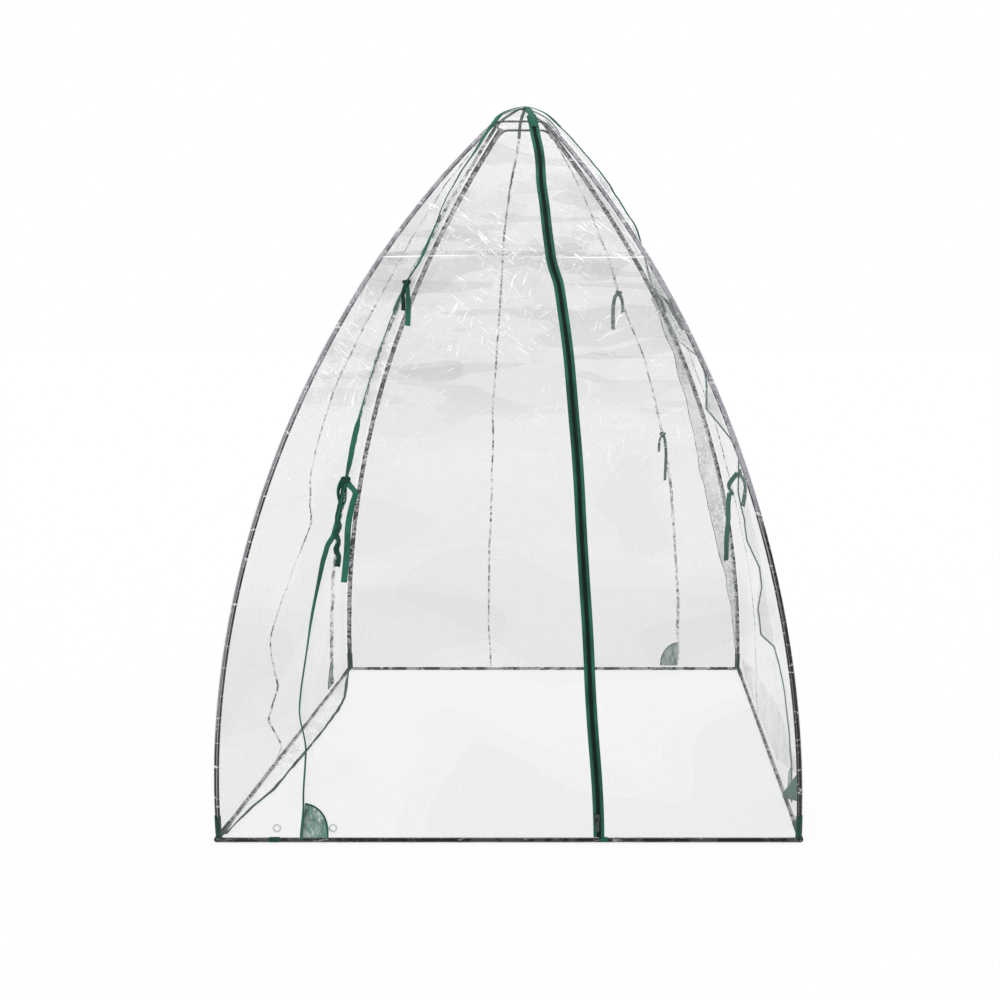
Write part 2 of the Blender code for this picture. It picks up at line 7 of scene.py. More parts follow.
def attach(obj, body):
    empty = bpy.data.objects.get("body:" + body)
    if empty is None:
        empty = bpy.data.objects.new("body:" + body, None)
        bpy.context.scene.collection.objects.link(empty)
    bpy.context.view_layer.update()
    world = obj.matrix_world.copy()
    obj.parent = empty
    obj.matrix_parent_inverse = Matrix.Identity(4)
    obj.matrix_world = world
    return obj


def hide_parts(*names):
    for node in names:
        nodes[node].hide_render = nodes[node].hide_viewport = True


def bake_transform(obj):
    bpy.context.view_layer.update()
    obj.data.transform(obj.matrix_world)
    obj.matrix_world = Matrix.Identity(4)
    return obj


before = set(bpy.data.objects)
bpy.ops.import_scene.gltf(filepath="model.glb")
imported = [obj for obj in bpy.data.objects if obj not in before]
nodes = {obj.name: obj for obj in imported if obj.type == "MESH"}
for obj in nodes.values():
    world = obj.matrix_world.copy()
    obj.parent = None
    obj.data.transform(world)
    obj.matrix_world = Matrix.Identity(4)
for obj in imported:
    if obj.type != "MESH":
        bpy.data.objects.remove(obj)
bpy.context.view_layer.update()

# ---------------------------------------------------------------- shape of the shelter

# The faces' curve, as in the part: upright circular arcs, straight across from rib to rib.
STRETCH = math.hypot(1.0, 0.3)
BELLY_Z, TOP_Z = 0.060, 1.766
BASE_REACH, TOP_REACH = 0.6995, 0.072
DROP = (BASE_REACH - TOP_REACH) * STRETCH
ARC_R = ((TOP_Z - BELLY_Z) ** 2 + DROP**2) / (2 * DROP)
ARC_C = BASE_REACH * STRETCH - ARC_R
ROD_Y, ROD_Z = 0.6938, 0.006  # base rod's centre line
FILM_Z = 0.0135

FACES = ("front", "right", "back", "left")
CORNERS = ("front_right", "back_right", "back_left", "front_left")
CORNER = 0.012  # radius of the film where it rounds a rib
TIE_Z = (1.316, 0.852)


def reach(z):
    return (ARC_C + math.sqrt(ARC_R**2 - (z - BELLY_Z) ** 2)) / STRETCH


def slope(z):
    """How fast a face leans in, as metres per metre of height."""
    return -(z - BELLY_Z) / math.sqrt(ARC_R**2 - (z - BELLY_Z) ** 2) / STRETCH


def lerp(a, b, t):
    return a + (b - a) * t


def smooth(low, high, value):
    t = min(max((value - low) / (high - low), 0.0), 1.0)
    return t * t * (3 - 2 * t)


def curve_through(table, value):
    """Smooth value from a short table of (key, value) pairs, keys rising."""
    if value <= table[0][0]:
        return table[0][1]
    for (k0, v0), (k1, v1) in zip(table, table[1:]):
        if value <= k1:
            return lerp(v0, v1, smooth(k0, k1, value))
    return table[-1][1]


def turned(point, face):
    """A point on the front face, carried round to another face: 0 front, 1 right, 2 back, 3 left."""
    x, y, z = point
    return Vector(((x, y, z), (-y, x, z), (-x, -y, z), (y, -x, z))[face % 4])


def film_base(round_, z):
    """Where the film lies, and its outward normal. round_ runs 0 to 8 round the square, two to a face."""
    face = math.floor(round_ / 2)
    s = round_ - 2 * face - 1
    r = reach(z)
    x = s * r
    lean = Vector((0, -1, -slope(z))).normalized()
    near = abs(x) - (r - CORNER)
    if near <= 0:
        point, normal = Vector((x, -r, z)), lean
    else:
        # Half of the rounded corner belongs to each face.
        turn = near / CORNER * math.pi / 4 * math.copysign(1, x)
        side = math.copysign(r - CORNER, x)
        point = Vector(
            (side + CORNER * math.sin(turn), -(r - CORNER) - CORNER * math.cos(turn), z)
        )
        normal = Vector((math.sin(turn), -math.cos(turn), -slope(z))).normalized()
    return turned(point, face), turned(normal, face)


def slack(point, s, z):
    """How far the loose film stands off its taut shape, in metres."""
    free = (1 - smooth(0.86, 0.985, abs(s))) * smooth(0.0, 0.10, z) * (1 - smooth(1.60, 1.76, z))
    big = noise.noise(point * 2.3 + Vector((3.1, 7.7, 1.2)))
    middle = noise.noise(Vector((point.x * 6, point.y * 6, point.z * 11)) + Vector((9.0, 2.0, 5.0)))
    crumple = noise.turbulence(
        Vector((point.x * 14, point.y * 14, point.z * 22)), 3, True, noise_basis="PERLIN_ORIGINAL"
    )
    high = smooth(0.95, 1.3, z)
    value = big * 0.007 + middle * lerp(0.0025, 0.004, high) + (crumple - 0.5) * lerp(0.0006, 0.003, high)
    # The storage folds leave a sharp step straight across the film.
    for fold, depth in ((1.384, 0.0035), (0.742, 0.0025), (0.38, 0.0015)):
        value += depth * math.exp(-abs(z - fold - 0.02 * middle) / 0.012)
    return value * free - 0.0035 * free


def straight_through(table, value):
    """Value from a short table of (key, value) pairs, straight between keys."""
    for (k0, v0), (k1, v1) in zip(table, table[1:]):
        if value <= k1:
            return lerp(v0, v1, max(value - k0, 0.0) / (k1 - k0))
    return table[-1][1]


def sag(round_, z):
    total = 0.0
    for centre, spread, table in SAGS:
        away = (round_ - centre + 4) % 8 - 4
        if abs(away) < 3 * spread:
            total += straight_through(table, z) * math.exp(-((away / spread) ** 2))
    return total


def film(round_, z, out=0.0):
    """A point of the loose film, out metres proud of it, and the film's normal there."""
    point, normal = film_base(round_, z)
    s = round_ - 2 * math.floor(round_ / 2) - 1
    return point + normal * (slack(point, s, z) + sag(round_, z) + out), normal


# Seams: 0, 2, 4 and 6 carry the ties; 1 is the zip; 3, 5 and 7 are plain. A seam's place is a share of
# the reach, and these tables say how far it wanders from that share as it climbs. They began as points
# read off the photo by eye and turned into shares by a scratch calculator, and were then adjusted.
FRONT_DRIFT = (
    (0.00, 0.000), (0.10, 0.012), (0.23, 0.020), (0.33, -0.006), (0.50, 0.004), (0.66, 0.013), (0.70, 0.018),
    (0.73, 0.036), (0.86, 0.038), (0.98, 0.025), (1.31, 0.014), (1.38, 0.038), (1.44, 0.030), (1.54, -0.014),
    (1.65, -0.030), (1.766, -0.100),
)
ZIP_DRIFT = (
    (0.00, 0.007), (0.40, -0.014), (0.68, -0.017), (0.97, -0.008), (1.18, 0.000), (1.31, -0.002),
    (1.384, -0.030), (1.44, -0.030), (1.56, -0.016), (1.70, 0.060), (1.766, 0.110),
)
RIGHT_DRIFT = ((1.30, 0.0), (1.44, -0.03), (1.60, -0.05), (1.766, -0.12))
BACK_DRIFT = ((0.40, 0.015), (0.84, -0.012), (1.10, -0.02), (1.32, 0.010), (1.44, -0.025), (1.66, -0.08))
LEFT_DRIFT = ((1.30, 0.0), (1.50, -0.04), (1.766, -0.16))
PLAIN_DRIFT = ((1.26, -0.028), (1.50, -0.012), (1.60, -0.016), (1.766, -0.115))
DRIFTS = {0: FRONT_DRIFT, 1: ZIP_DRIFT, 2: RIGHT_DRIFT, 4: BACK_DRIFT, 6: LEFT_DRIFT}

# How far the loose film stands out, or sags in, along two of the side seams. Made in the same way: ten of
# the 15 heights in LEFT_SAG are the calculator's own output, and its values follow that output too.
RIGHT_SAG = (
    (0.00, 0.000), (0.12, 0.000), (0.30, -0.008), (0.42, -0.020), (0.455, -0.050), (0.52, -0.048),
    (0.575, -0.026), (0.62, -0.022), (0.69, -0.038), (0.81, -0.028), (0.885, -0.002), (0.93, -0.006),
    (1.02, -0.040), (1.08, -0.015), (1.13, -0.004), (1.19, -0.036), (1.316, -0.032), (1.378, -0.013),
    (1.455, 0.012), (1.567, 0.019), (1.71, 0.015), (1.766, 0.003),
)
LEFT_SAG = (
    (0.00, 0.000), (0.05, -0.018), (0.124, 0.026), (0.221, -0.006), (0.303, 0.014), (0.354, 0.022),
    (0.471, 0.000), (0.518, -0.012), (0.653, -0.040), (0.691, -0.048), (0.805, -0.014), (0.886, -0.007),
    (1.07, 0.000), (1.32, -0.008), (1.766, 0.000),
)
SAGS = ((2.30, 0.15, RIGHT_SAG), (7.30, 0.20, LEFT_SAG))


def seam_round(seam, z):
    """Where a seam runs round the square at height z."""
    wander = noise.noise(Vector((seam * 5.3, 0.7, z * 2.6))) * 0.012
    wander += noise.noise(Vector((seam * 2.1, 4.0, z * 9.0))) * 0.006
    held = smooth(0.02, 0.15, z) * (1 - smooth(1.55, 1.75, z))
    loose = 0.1 if seam % 8 < 2 else 1.0
    return 0.30 + seam + curve_through(DRIFTS.get(seam % 8, PLAIN_DRIFT), z) + wander * held * loose


# ---------------------------------------------------------------- meshes


def new_object(name, points, faces, uvs=None, wrap=None):
    """A mesh object. Where a face spans the join of a closed strip, its low u values gain one wrap."""
    mesh = bpy.data.meshes.new(name)
    mesh.from_pydata([tuple(p) for p in points], [], faces)
    if uvs:
        layer = mesh.uv_layers.new(name="metres")
        for polygon in mesh.polygons:
            pairs = [uvs[mesh.loops[loop].vertex_index] for loop in polygon.loop_indices]
            top = max(u for u, v in pairs)
            for loop, (u, v) in zip(polygon.loop_indices, pairs):
                layer.data[loop].uv = (u + wrap, v) if wrap and top - u > wrap / 2 else (u, v)
    mesh.validate()
    mesh.shade_smooth()
    obj = bpy.data.objects.new(name, mesh)
    bpy.context.scene.collection.objects.link(obj)
    return obj


def grid(name, rows, closed=False, uvs=None, caps=False, wrap=None):
    """A surface through rows of points; closed joins the last column to the first."""
    count = len(rows[0])
    points = [p for row in rows for p in row]
    faces = []
    for r in range(len(rows) - 1):
        for c in range(count if closed else count - 1):
            d = (c + 1) % count
            faces.append((r * count + c, r * count + d, (r + 1) * count + d, (r + 1) * count + c))
    if caps:
        faces.append(tuple(reversed(range(count))))
        faces.append(tuple(range(len(points) - count, len(points))))
    flat_uvs = [uv for row in uvs for uv in row] if uvs else None
    return new_object(name, points, faces, flat_uvs, wrap)


def lengths_along(path):
    run = [0.0]
    for a, b in zip(path, path[1:]):
        run.append(run[-1] + (b - a).length)
    return run


def ribbon(name, path, sides, width, thick, columns=4, curl=None):
    """A woven strip along path. sides are unit vectors across it.

    width and thick are numbers, or one number per point."""
    run = lengths_along(path)
    rows, uvs = [], []
    for i, (point, side) in enumerate(zip(path, sides)):
        ahead = path[min(i + 1, len(path) - 1)] - path[max(i - 1, 0)]
        up = side.cross(ahead).normalized()
        w = width[i] if isinstance(width, (list, tuple)) else width
        row, uv = [], []
        bend = curl(i, run[i]) if curl else 0.0
        for level in (1, -1):
            for c in range(columns + 1):
                a = (c / columns - 0.5) * (1 if level > 0 else -1)
                edge = 0.35 if c in (0, columns) else 1.0
                rise = bend * (0.25 - a * a) * w
                row.append(point + side * a * w + up * (level * thick / 2 * edge + rise))
                uv.append((a * w, run[i]))
        rows.append(row)
        uvs.append(uv)
    return grid(name, rows, closed=True, uvs=uvs, caps=True)


def tube(name, path, radius, sides=16, flat=None, caps=True, turn=None):
    """A round or oval tube. flat(i, run) may give (half width, half thickness, unit vector across).

    turn(share) may give the UV x of a point that lies a share of the way round."""
    run = lengths_along(path)
    rows, uvs = [], []
    across = None
    for i, point in enumerate(path):
        ahead = (path[min(i + 1, len(path) - 1)] - path[max(i - 1, 0)]).normalized()
        if across is None:
            across = ahead.orthogonal().normalized()
        across = (across - ahead * across.dot(ahead)).normalized()
        if flat:
            half_w, half_t, across = flat(i, run[i])
            across = (across - ahead * across.dot(ahead)).normalized()
        else:
            half_w = half_t = radius[i] if isinstance(radius, (list, tuple)) else radius
        other = ahead.cross(across)
        row, uv = [], []
        for k in range(sides):
            a = 2 * math.pi * k / sides
            row.append(point + across * math.cos(a) * half_w + other * math.sin(a) * half_t)
            uv.append((turn(k / sides) if turn else k / sides * 2 * math.pi * half_w, run[i]))
        rows.append(row)
        uvs.append(uv)
    return grid(name, rows, closed=True, uvs=uvs, caps=caps, wrap=1.0 if turn else None)


def spline(points, steps):
    """A smooth line through the points, steps samples between each two."""
    points = [Vector(p) for p in points]
    line = []
    for i in range(len(points) - 1):
        before = points[max(i - 1, 0)]
        here, there = points[i], points[i + 1]
        after = points[min(i + 2, len(points) - 1)]
        for j in range(steps):
            t = j / steps
            line.append(
                0.5 * (2 * here + (there - before) * t)
                + 0.5 * (2 * before - 5 * here + 4 * there - after) * t**2
                + 0.5 * (3 * here - before - 3 * there + after) * t**3
            )
    return line + [points[-1]]


def join(name, parts):
    """Several meshes as one piece, each part keeping its own material."""
    for other in bpy.context.selected_objects:
        other.select_set(False)
    for part in parts:
        part.select_set(True)
    bpy.context.view_layer.objects.active = parts[0]
    bpy.ops.object.join()
    parts[0].name = name
    parts[0].data.name = name
    return parts[0]


# ---------------------------------------------------------------- materials


class Nodes:
    """Short names for building one material's node tree."""

    def __init__(self, name):
        self.material = bpy.data.materials.new(name)
        self.material.use_nodes = True
        self.tree = self.material.node_tree
        self.shader = self.tree.nodes["Principled BSDF"]
        self.coords = self.tree.nodes.new("ShaderNodeTexCoord")

    def link(self, source, target):
        self.tree.links.new(source, target)

    def value(self, kind, **settings):
        node = self.tree.nodes.new(kind)
        for key, value in settings.items():
            setattr(node, key, value)
        return node

    def scaled(self, scale, source="Object", move=(0, 0, 0)):
        node = self.value("ShaderNodeMapping")
        node.inputs["Scale"].default_value = scale
        node.inputs["Location"].default_value = move
        self.link(self.coords.outputs[source], node.inputs["Vector"])
        return node.outputs["Vector"]

    def noise(self, scale, detail=2.0, rough=0.5, distortion=0.0, source="Object", move=(0, 0, 0)):
        node = self.value("ShaderNodeTexNoise")
        node.inputs["Scale"].default_value = 1.0
        node.inputs["Detail"].default_value = detail
        node.inputs["Roughness"].default_value = rough
        node.inputs["Distortion"].default_value = distortion
        self.link(self.scaled(scale, source, move), node.inputs["Vector"])
        return node.outputs["Fac"]

    def math(self, operation, a, b=None, clamp=False):
        node = self.value("ShaderNodeMath", operation=operation, use_clamp=clamp)
        for index, item in enumerate((a, b)):
            if item is None:
                continue
            if isinstance(item, (int, float)):
                node.inputs[index].default_value = item
            else:
                self.link(item, node.inputs[index])
        return node.outputs["Value"]

    def ramp(self, source, low, high, to_low=0.0, to_high=1.0, kind="SMOOTHSTEP"):
        node = self.value("ShaderNodeMapRange", interpolation_type=kind)
        self.link(source, node.inputs["Value"])
        for key, value in zip(
            ("From Min", "From Max", "To Min", "To Max"), (low, high, to_low, to_high)
        ):
            node.inputs[key].default_value = value
        return node.outputs["Result"]

    def mix(self, factor, a, b):
        node = self.value("ShaderNodeMix", data_type="RGBA")
        if isinstance(factor, (int, float)):
            node.inputs["Factor"].default_value = factor
        else:
            self.link(factor, node.inputs["Factor"])
        for key, item in (("A", a), ("B", b)):
            socket = [s for s in node.inputs if s.name == key and s.type == "RGBA"][0]
            if isinstance(item, tuple):
                socket.default_value = (*item, 1.0)
            else:
                self.link(item, socket)
        return [s for s in node.outputs if s.type == "RGBA"][0]

    def bump(self, height, strength, distance, normal=None):
        node = self.value("ShaderNodeBump")
        node.inputs["Strength"].default_value = strength
        node.inputs["Distance"].default_value = distance
        self.link(height, node.inputs["Height"])
        if normal:
            self.link(normal, node.inputs["Normal"])
        return node.outputs["Normal"]

    def set(self, **values):
        for key, item in values.items():
            socket = self.shader.inputs[key.replace("_", " ")]
            if isinstance(item, (int, float)):
                socket.default_value = item
            elif isinstance(item, tuple):
                socket.default_value = (*item, 1.0)
            else:
                self.link(item, socket)
        return self.material

    def height(self):
        node = self.value("ShaderNodeSeparateXYZ")
        self.link(self.coords.outputs["Object"], node.inputs["Vector"])
        return node.outputs["Z"]


def crease_highlight_lines(n, scale, width, keep, move=(0, 0, 0), bend=0.35):
    """Straight creases as thin painted highlights: the borders of stretched cells, kept only where a broad
    noise is high.
    """
    place = n.scaled(scale, move=move)
    shake = n.value("ShaderNodeTexNoise")
    shake.inputs["Scale"].default_value = 1.7
    shake.inputs["Detail"].default_value = 1.0
    n.link(place, shake.inputs["Vector"])
    moved = n.value("ShaderNodeMix", data_type="VECTOR")
    moved.inputs["Factor"].default_value = bend
    sockets = [s for s in moved.inputs if s.type == "VECTOR" and s.name in "AB"]
    n.link(place, sockets[0])
    n.link(shake.outputs["Color"], sockets[1])
    cells = n.value("ShaderNodeTexVoronoi", feature="DISTANCE_TO_EDGE")
    cells.inputs["Scale"].default_value = 1.0
    n.link([s for s in moved.outputs if s.type == "VECTOR"][0], cells.inputs["Vector"])
    line = n.ramp(cells.outputs["Distance"], 0.0, width, 1.0, 0.0)
    return n.math("MULTIPLY", line, keep)


def facet_shade_tones(n, scale, low, high, move=(0, 0, 0)):
    """Flat patches with sharp sides: painted shade, as creased film turns whole facets darker than their
    neighbours.
    """
    place = n.scaled(scale, move=move)
    cells = n.value("ShaderNodeTexVoronoi", feature="F1")
    cells.inputs["Scale"].default_value = 1.0
    n.link(place, cells.inputs["Vector"])
    split = n.value("ShaderNodeSeparateXYZ")
    n.link(cells.outputs["Color"], split.inputs["Vector"])
    return n.ramp(split.outputs["X"], low, high, 0.0, 1.0, "LINEAR")


def crease_highlight_strokes(n, angle, size, low, high, move=(0, 0, 0)):
    """Short fine strokes that all run one way, painted highlights as where film has been sharply creased."""
    node = n.value("ShaderNodeMapping", vector_type="TEXTURE")
    node.inputs["Location"].default_value = move
    node.inputs["Rotation"].default_value = (math.radians(angle * 0.8), math.radians(angle), 0.0)
    node.inputs["Scale"].default_value = size
    n.link(n.coords.outputs["Object"], node.inputs["Vector"])
    field = n.value("ShaderNodeTexNoise")
    field.inputs["Scale"].default_value = 1.0
    field.inputs["Detail"].default_value = 1.5
    field.inputs["Distortion"].default_value = 0.25
    n.link(node.outputs["Vector"], field.inputs["Vector"])
    return n.ramp(field.outputs["Fac"], low, high)


# Creases left by storage, drawn as painted highlight lines: height at the middle of the front, tilt to the
# right, and strength.
FOLDS = ((1.384, 0.0, 1.0), (0.673, 0.16, 0.55))


def film_material(name="clear_film"):
    """Clear film. Its UV x is the distance from the nearest rib, where it is drawn tight and clear."""
    n = Nodes(name)
    z = n.height()
    place = n.value("ShaderNodeSeparateXYZ")
    n.link(n.coords.outputs["Object"], place.inputs["Vector"])
    near = n.value("ShaderNodeSeparateXYZ")
    n.link(n.coords.outputs["UV"], near.inputs["Vector"])
    loose = n.ramp(near.outputs["X"], 0.010, 0.024)
    high = n.ramp(z, 0.85, 1.30)
    crown = n.ramp(z, 1.40, 1.62)
    wave = n.noise((2.2, 2.2, 1.0), 2.0, 0.5, 0.3, move=(5, 1, 9))
    wobble = n.math("MULTIPLY", n.math("SUBTRACT", wave, 0.5), 0.022)
    level = n.math("ADD", z, wobble)

    # Painted reflections: flat tones with soft, sharp-sided borders, as a soft sheet of film mirrors a
    # studio.
    broad = n.noise((1.5, 1.5, 3.2), 1.0, 0.35, 0.5, move=(1.3, 4.0, 0.2))
    tone_a = n.ramp(broad, 0.50, 0.52)
    tone_b = n.ramp(broad, 0.585, 0.595)
    shapes = n.noise((2.1, 2.1, 11.0), 2.0, 0.42, 0.8, move=(6.0, 1.0, 3.0))
    tone_c = n.math("MULTIPLY", n.ramp(shapes, 0.565, 0.575), n.ramp(z, 0.92, 1.1))
    tone_d = n.math("MULTIPLY", facet_shade_tones(n, (8, 8, 13), 0.45, 1.0, (1, 1, 4)), high)

    # Painted highlights: crease lines, broken into strokes, and the long level lines of the storage folds.
    strokes = n.ramp(n.noise((5, 5, 7), 2.0, 0.6, 0.0, move=(2, 9, 4)), 0.46, 0.60)
    some = n.ramp(n.noise((7, 7, 7), 2.0, 0.6, 0.0, move=(1, 3, 7)), 0.48, 0.60)
    other = n.ramp(n.noise((4, 4, 6), 2.0, 0.6, 0.0, move=(6, 6, 1)), 0.47, 0.60)
    few = n.ramp(n.noise((2.6, 2.6, 4), 1.0, 0.5, 0.0, move=(8, 3, 1)), 0.52, 0.62)
    hair_a = n.math("MULTIPLY", crease_highlight_strokes(n, 28, (0.055, 0.055, 0.0032), 0.60, 0.70), strokes)
    hair_b = n.math("MULTIPLY", crease_highlight_strokes(n, -38, (0.045, 0.045, 0.0030), 0.61, 0.71, (3, 1, 2)), some)
    hair_c = n.math("MULTIPLY", crease_highlight_strokes(n, 66, (0.060, 0.060, 0.0034), 0.61, 0.71, (1, 5, 2)), other)
    hair = n.math("MAXIMUM", n.math("MAXIMUM", hair_a, hair_b), hair_c)
    hair = n.math("MULTIPLY", hair, n.ramp(z, 0.55, 1.15, 0.12, 1.0))
    hair = n.math("MULTIPLY", hair, n.ramp(z, 1.48, 1.66, 1.0, 0.3))
    line_a = n.math("MULTIPLY", crease_highlight_lines(n, (9, 9, 15), 0.010, other, (3, 3, 3), 0.12), high)
    line_c = crease_highlight_lines(n, (4.0, 4.0, 8), 0.004, few, (5, 8, 2), 0.15)
    lines = n.math("MAXIMUM", hair, n.math("MULTIPLY", n.math("MAXIMUM", line_a, line_c), 0.7))
    facing = n.ramp(place.outputs["Y"], -0.05, 0.05, 1.0, 0.0)
    for fold, tilt, share in FOLDS:
        tipped = n.math("ADD", level, n.math("MULTIPLY", place.outputs["X"], tilt))
        off = n.math("ABSOLUTE", n.math("SUBTRACT", tipped, fold))
        keep = n.ramp(n.noise((2.4, 2.4, 1.0), 1.0, 0.5, move=(fold, 2, 2)), 0.40, 0.50, 0.25 * share, share)
        keep = n.math("MULTIPLY", keep, facing)
        line = n.math("MULTIPLY", n.ramp(off, 0.0006, 0.0026, 1.0, 0.0), keep)
        lines = n.math("MAXIMUM", lines, line)
    # Painted shadow: a grey band just above the top storage fold, in broken lengths on the front.
    above = n.math("SUBTRACT", level, FOLDS[0][0])
    fold_shadow_band = n.math("MULTIPLY", n.ramp(above, 0.002, 0.004), n.ramp(above, 0.012, 0.016, 1.0, 0.0))
    fold_shadow_band = n.math("MULTIPLY", fold_shadow_band, n.ramp(n.noise((2.4, 2.4, 1), 1.0, 0.5, move=(4, 4, 1)), 0.36, 0.44))
    fold_shadow_band = n.math("MULTIPLY", fold_shadow_band, facing)

    # Fine upright streaks, painted highlights, and milky crumple.
    streaks = n.ramp(n.noise((150, 150, 3.0), 2.0, 0.6, move=(1, 6, 2)), 0.55, 0.75)
    streaks = n.math("MULTIPLY", streaks, n.ramp(n.noise((2, 2, 5), 1.0, 0.5, move=(9, 9, 3)), 0.54, 0.62))
    streaks = n.math("MULTIPLY", streaks, n.ramp(z, 0.15, 0.60, 0.25, 1.0))
    milk = n.math("MULTIPLY", n.ramp(n.noise((16, 16, 36), 4.0, 0.68, 0.6), 0.50, 0.74), n.ramp(z, 0.7, 1.3))
    milk = n.math("MULTIPLY", milk, n.ramp(z, 1.50, 1.64, 1.0, 0.25))

    # The grey haze, with its tones, is painted reflection of the dimmer studio in the clear film; the white
    # mask holds the painted highlights and the milky crumple.
    haze = n.math("MULTIPLY", tone_a, 0.026)
    for tone, share in ((tone_b, 0.040), (tone_c, 0.15), (tone_d, 0.075), (high, 0.020), (fold_shadow_band, 0.28)):
        haze = n.math("ADD", haze, n.math("MULTIPLY", tone, share))
    haze = n.math("ADD", haze, n.ramp(z, 0.26, 0.50, 0.144, 0.124))
    haze = n.math("SUBTRACT", haze, n.math("MULTIPLY", crown, 0.035), clamp=True)
    white = n.math("MAXIMUM", lines, n.math("MULTIPLY", n.math("MAXIMUM", milk, streaks), 0.35), clamp=True)
    alpha = n.math("ADD", haze, n.math("MULTIPLY", white, 0.42), clamp=True)
    alpha = n.math("MULTIPLY", alpha, loose)
    colour = n.mix(white, (0.30, 0.31, 0.31), (1.0, 1.0, 1.0))

    relief = n.noise((26, 26, 40), 5.0, 0.62, 0.7)
    normal = n.bump(relief, 0.55, 0.004)
    normal = n.bump(lines, 0.4, 0.002, normal)
    n.set(Base_Color=colour, Alpha=alpha, Normal=normal, Roughness=0.16, IOR=1.5)
    n.shader.inputs["Specular IOR Level"].default_value = 0.8
    return n.material


def crumpled_material(name, alpha_low, alpha_high, dark, light, grain=(60, 60, 80)):
    """Film gathered in many small folds: grey and dull, with white and dark creases, painted highlight and
    shade.
    """
    n = Nodes(name)
    marks = n.noise(grain, 4.0, 0.65, 1.3)
    broad = n.noise((7, 7, 5), 2.0, 0.5, 0.4)
    keep = n.ramp(n.noise((14, 14, 14), 2.0, 0.6), 0.35, 0.55)
    lines = crease_highlight_lines(n, tuple(v * 0.75 for v in grain), 0.06, keep, (2, 1, 3), 0.6)
    # Painted light and shade: the mottle runs from dark to light as over small folds, and the crease marks
    # are painted white highlights.
    colour = n.mix(n.ramp(marks, 0.36, 0.62), dark, light)
    colour = n.mix(lines, colour, (1.0, 1.0, 1.0))
    alpha = n.ramp(broad, 0.38, 0.62, alpha_low, alpha_high)
    alpha = n.math("ADD", alpha, n.math("MULTIPLY", lines, 0.3), clamp=True)
    return n.set(Base_Color=colour, Alpha=alpha, Normal=n.bump(marks, 0.7, 0.004), Roughness=0.2)


def banded_sleeve(name, low, high, marks_scale=(55, 55, 12), reflection_from=0.75, reflection_to=1.25, breaks=1.0,
                  edging=1.0, dark=(0.10, 0.10, 0.11), low_tone=(0.02, 0.022, 0.022), pale_from=0.0,
                  shine_low=1.0):
    """Clear tube drawn tight over dark rods. Its UV x is the turn away from the outward diagonal.

    low and high give (edge alpha, body alpha) near the ground and near the crown."""
    n = Nodes(name)
    split = n.value("ShaderNodeSeparateXYZ")
    n.link(n.coords.outputs["UV"], split.inputs["Vector"])
    turn = split.outputs["X"]
    z = n.height()
    # Painted reflection: higher up, where the rib leans back under the overhead lamps, the sleeve turns to a
    # mottled grey.
    up = n.ramp(z, reflection_from, reflection_to)
    marks = n.noise(marks_scale, 3.0, 0.6, 0.8)
    shake = n.math("MULTIPLY", n.math("SUBTRACT", marks, 0.5), 0.05)
    turn = n.math("ADD", turn, shake)

    def stripe(start, stop, soft=0.012):
        rise = n.ramp(turn, start - soft, start + soft)
        fall = n.ramp(turn, stop - soft, stop + soft, 1.0, 0.0)
        return n.math("MULTIPLY", rise, fall)

    # The shine stripe is a painted highlight along the tube.
    edge = stripe(-0.08, 0.20, 0.03)
    shine = n.math("MULTIPLY", stripe(-0.165, -0.115), n.ramp(z, pale_from - 0.3, pale_from, shine_low, 1.0))
    green = n.math("MULTIPLY", stripe(0.095, 0.20), n.ramp(z, 0.70, 0.86, edging, 0.0))
    cracks = n.math("MULTIPLY", n.ramp(n.noise((26, 26, 95), 3.0, 0.6, 1.0), 0.60, 0.68), breaks)
    body = n.ramp(z, reflection_from, reflection_to, low[1], high[1])
    rim = n.ramp(z, reflection_from, reflection_to, low[0], high[0])
    alpha = n.math("MAXIMUM", body, n.math("MULTIPLY", edge, rim))
    alpha = n.math("MAXIMUM", alpha, n.math("MULTIPLY", shine, 0.72))
    alpha = n.math("MAXIMUM", alpha, n.math("MULTIPLY", green, 0.9))
    alpha = n.math("MAXIMUM", alpha, n.math("MULTIPLY", cracks, 0.75))
    mottle = n.ramp(marks, 0.46, 0.54)
    # The mottled grey of the upper sleeve is painted reflection.
    grey = n.mix(mottle, dark, (0.40, 0.39, 0.43))
    tone = n.mix(up, n.mix(mottle, (0.003, 0.004, 0.004), low_tone), grey)
    # The pale lavender band on the outer side is partly the sleeve's milky film and partly painted
    # reflection.
    lavender = n.math("MULTIPLY", edge, n.ramp(z, pale_from, pale_from + 0.10, 0.0, 1.0))
    tone = n.mix(n.math("MULTIPLY", lavender, 0.75), tone, (0.42, 0.41, 0.46))
    # Grey-white painted highlight.
    tone = n.mix(n.math("MULTIPLY", shine, 0.75), tone, (0.60, 0.60, 0.64))
    tone = n.mix(green, tone, (0.004, 0.045, 0.028))
    tone = n.mix(cracks, tone, (0.85, 0.86, 0.88))
    n.shader.inputs["Specular IOR Level"].default_value = 0.3
    return n.set(Base_Color=tone, Alpha=alpha, Normal=n.bump(marks, 0.4, 0.002), Roughness=0.18)


def weave(n, pitch_x, pitch_y, strength=0.5, distance=0.0004):
    """A plain weave in metres of UV."""
    waves = []
    for axis, pitch in ((0, pitch_x), (1, pitch_y)):
        split = n.value("ShaderNodeSeparateXYZ")
        n.link(n.coords.outputs["UV"], split.inputs["Vector"])
        turn = n.math("MULTIPLY", split.outputs[axis], 2 * math.pi / pitch)
        waves.append(n.math("SINE", turn))
    cloth = n.math("MULTIPLY", waves[0], waves[1])
    return cloth, n.bump(cloth, strength, distance)


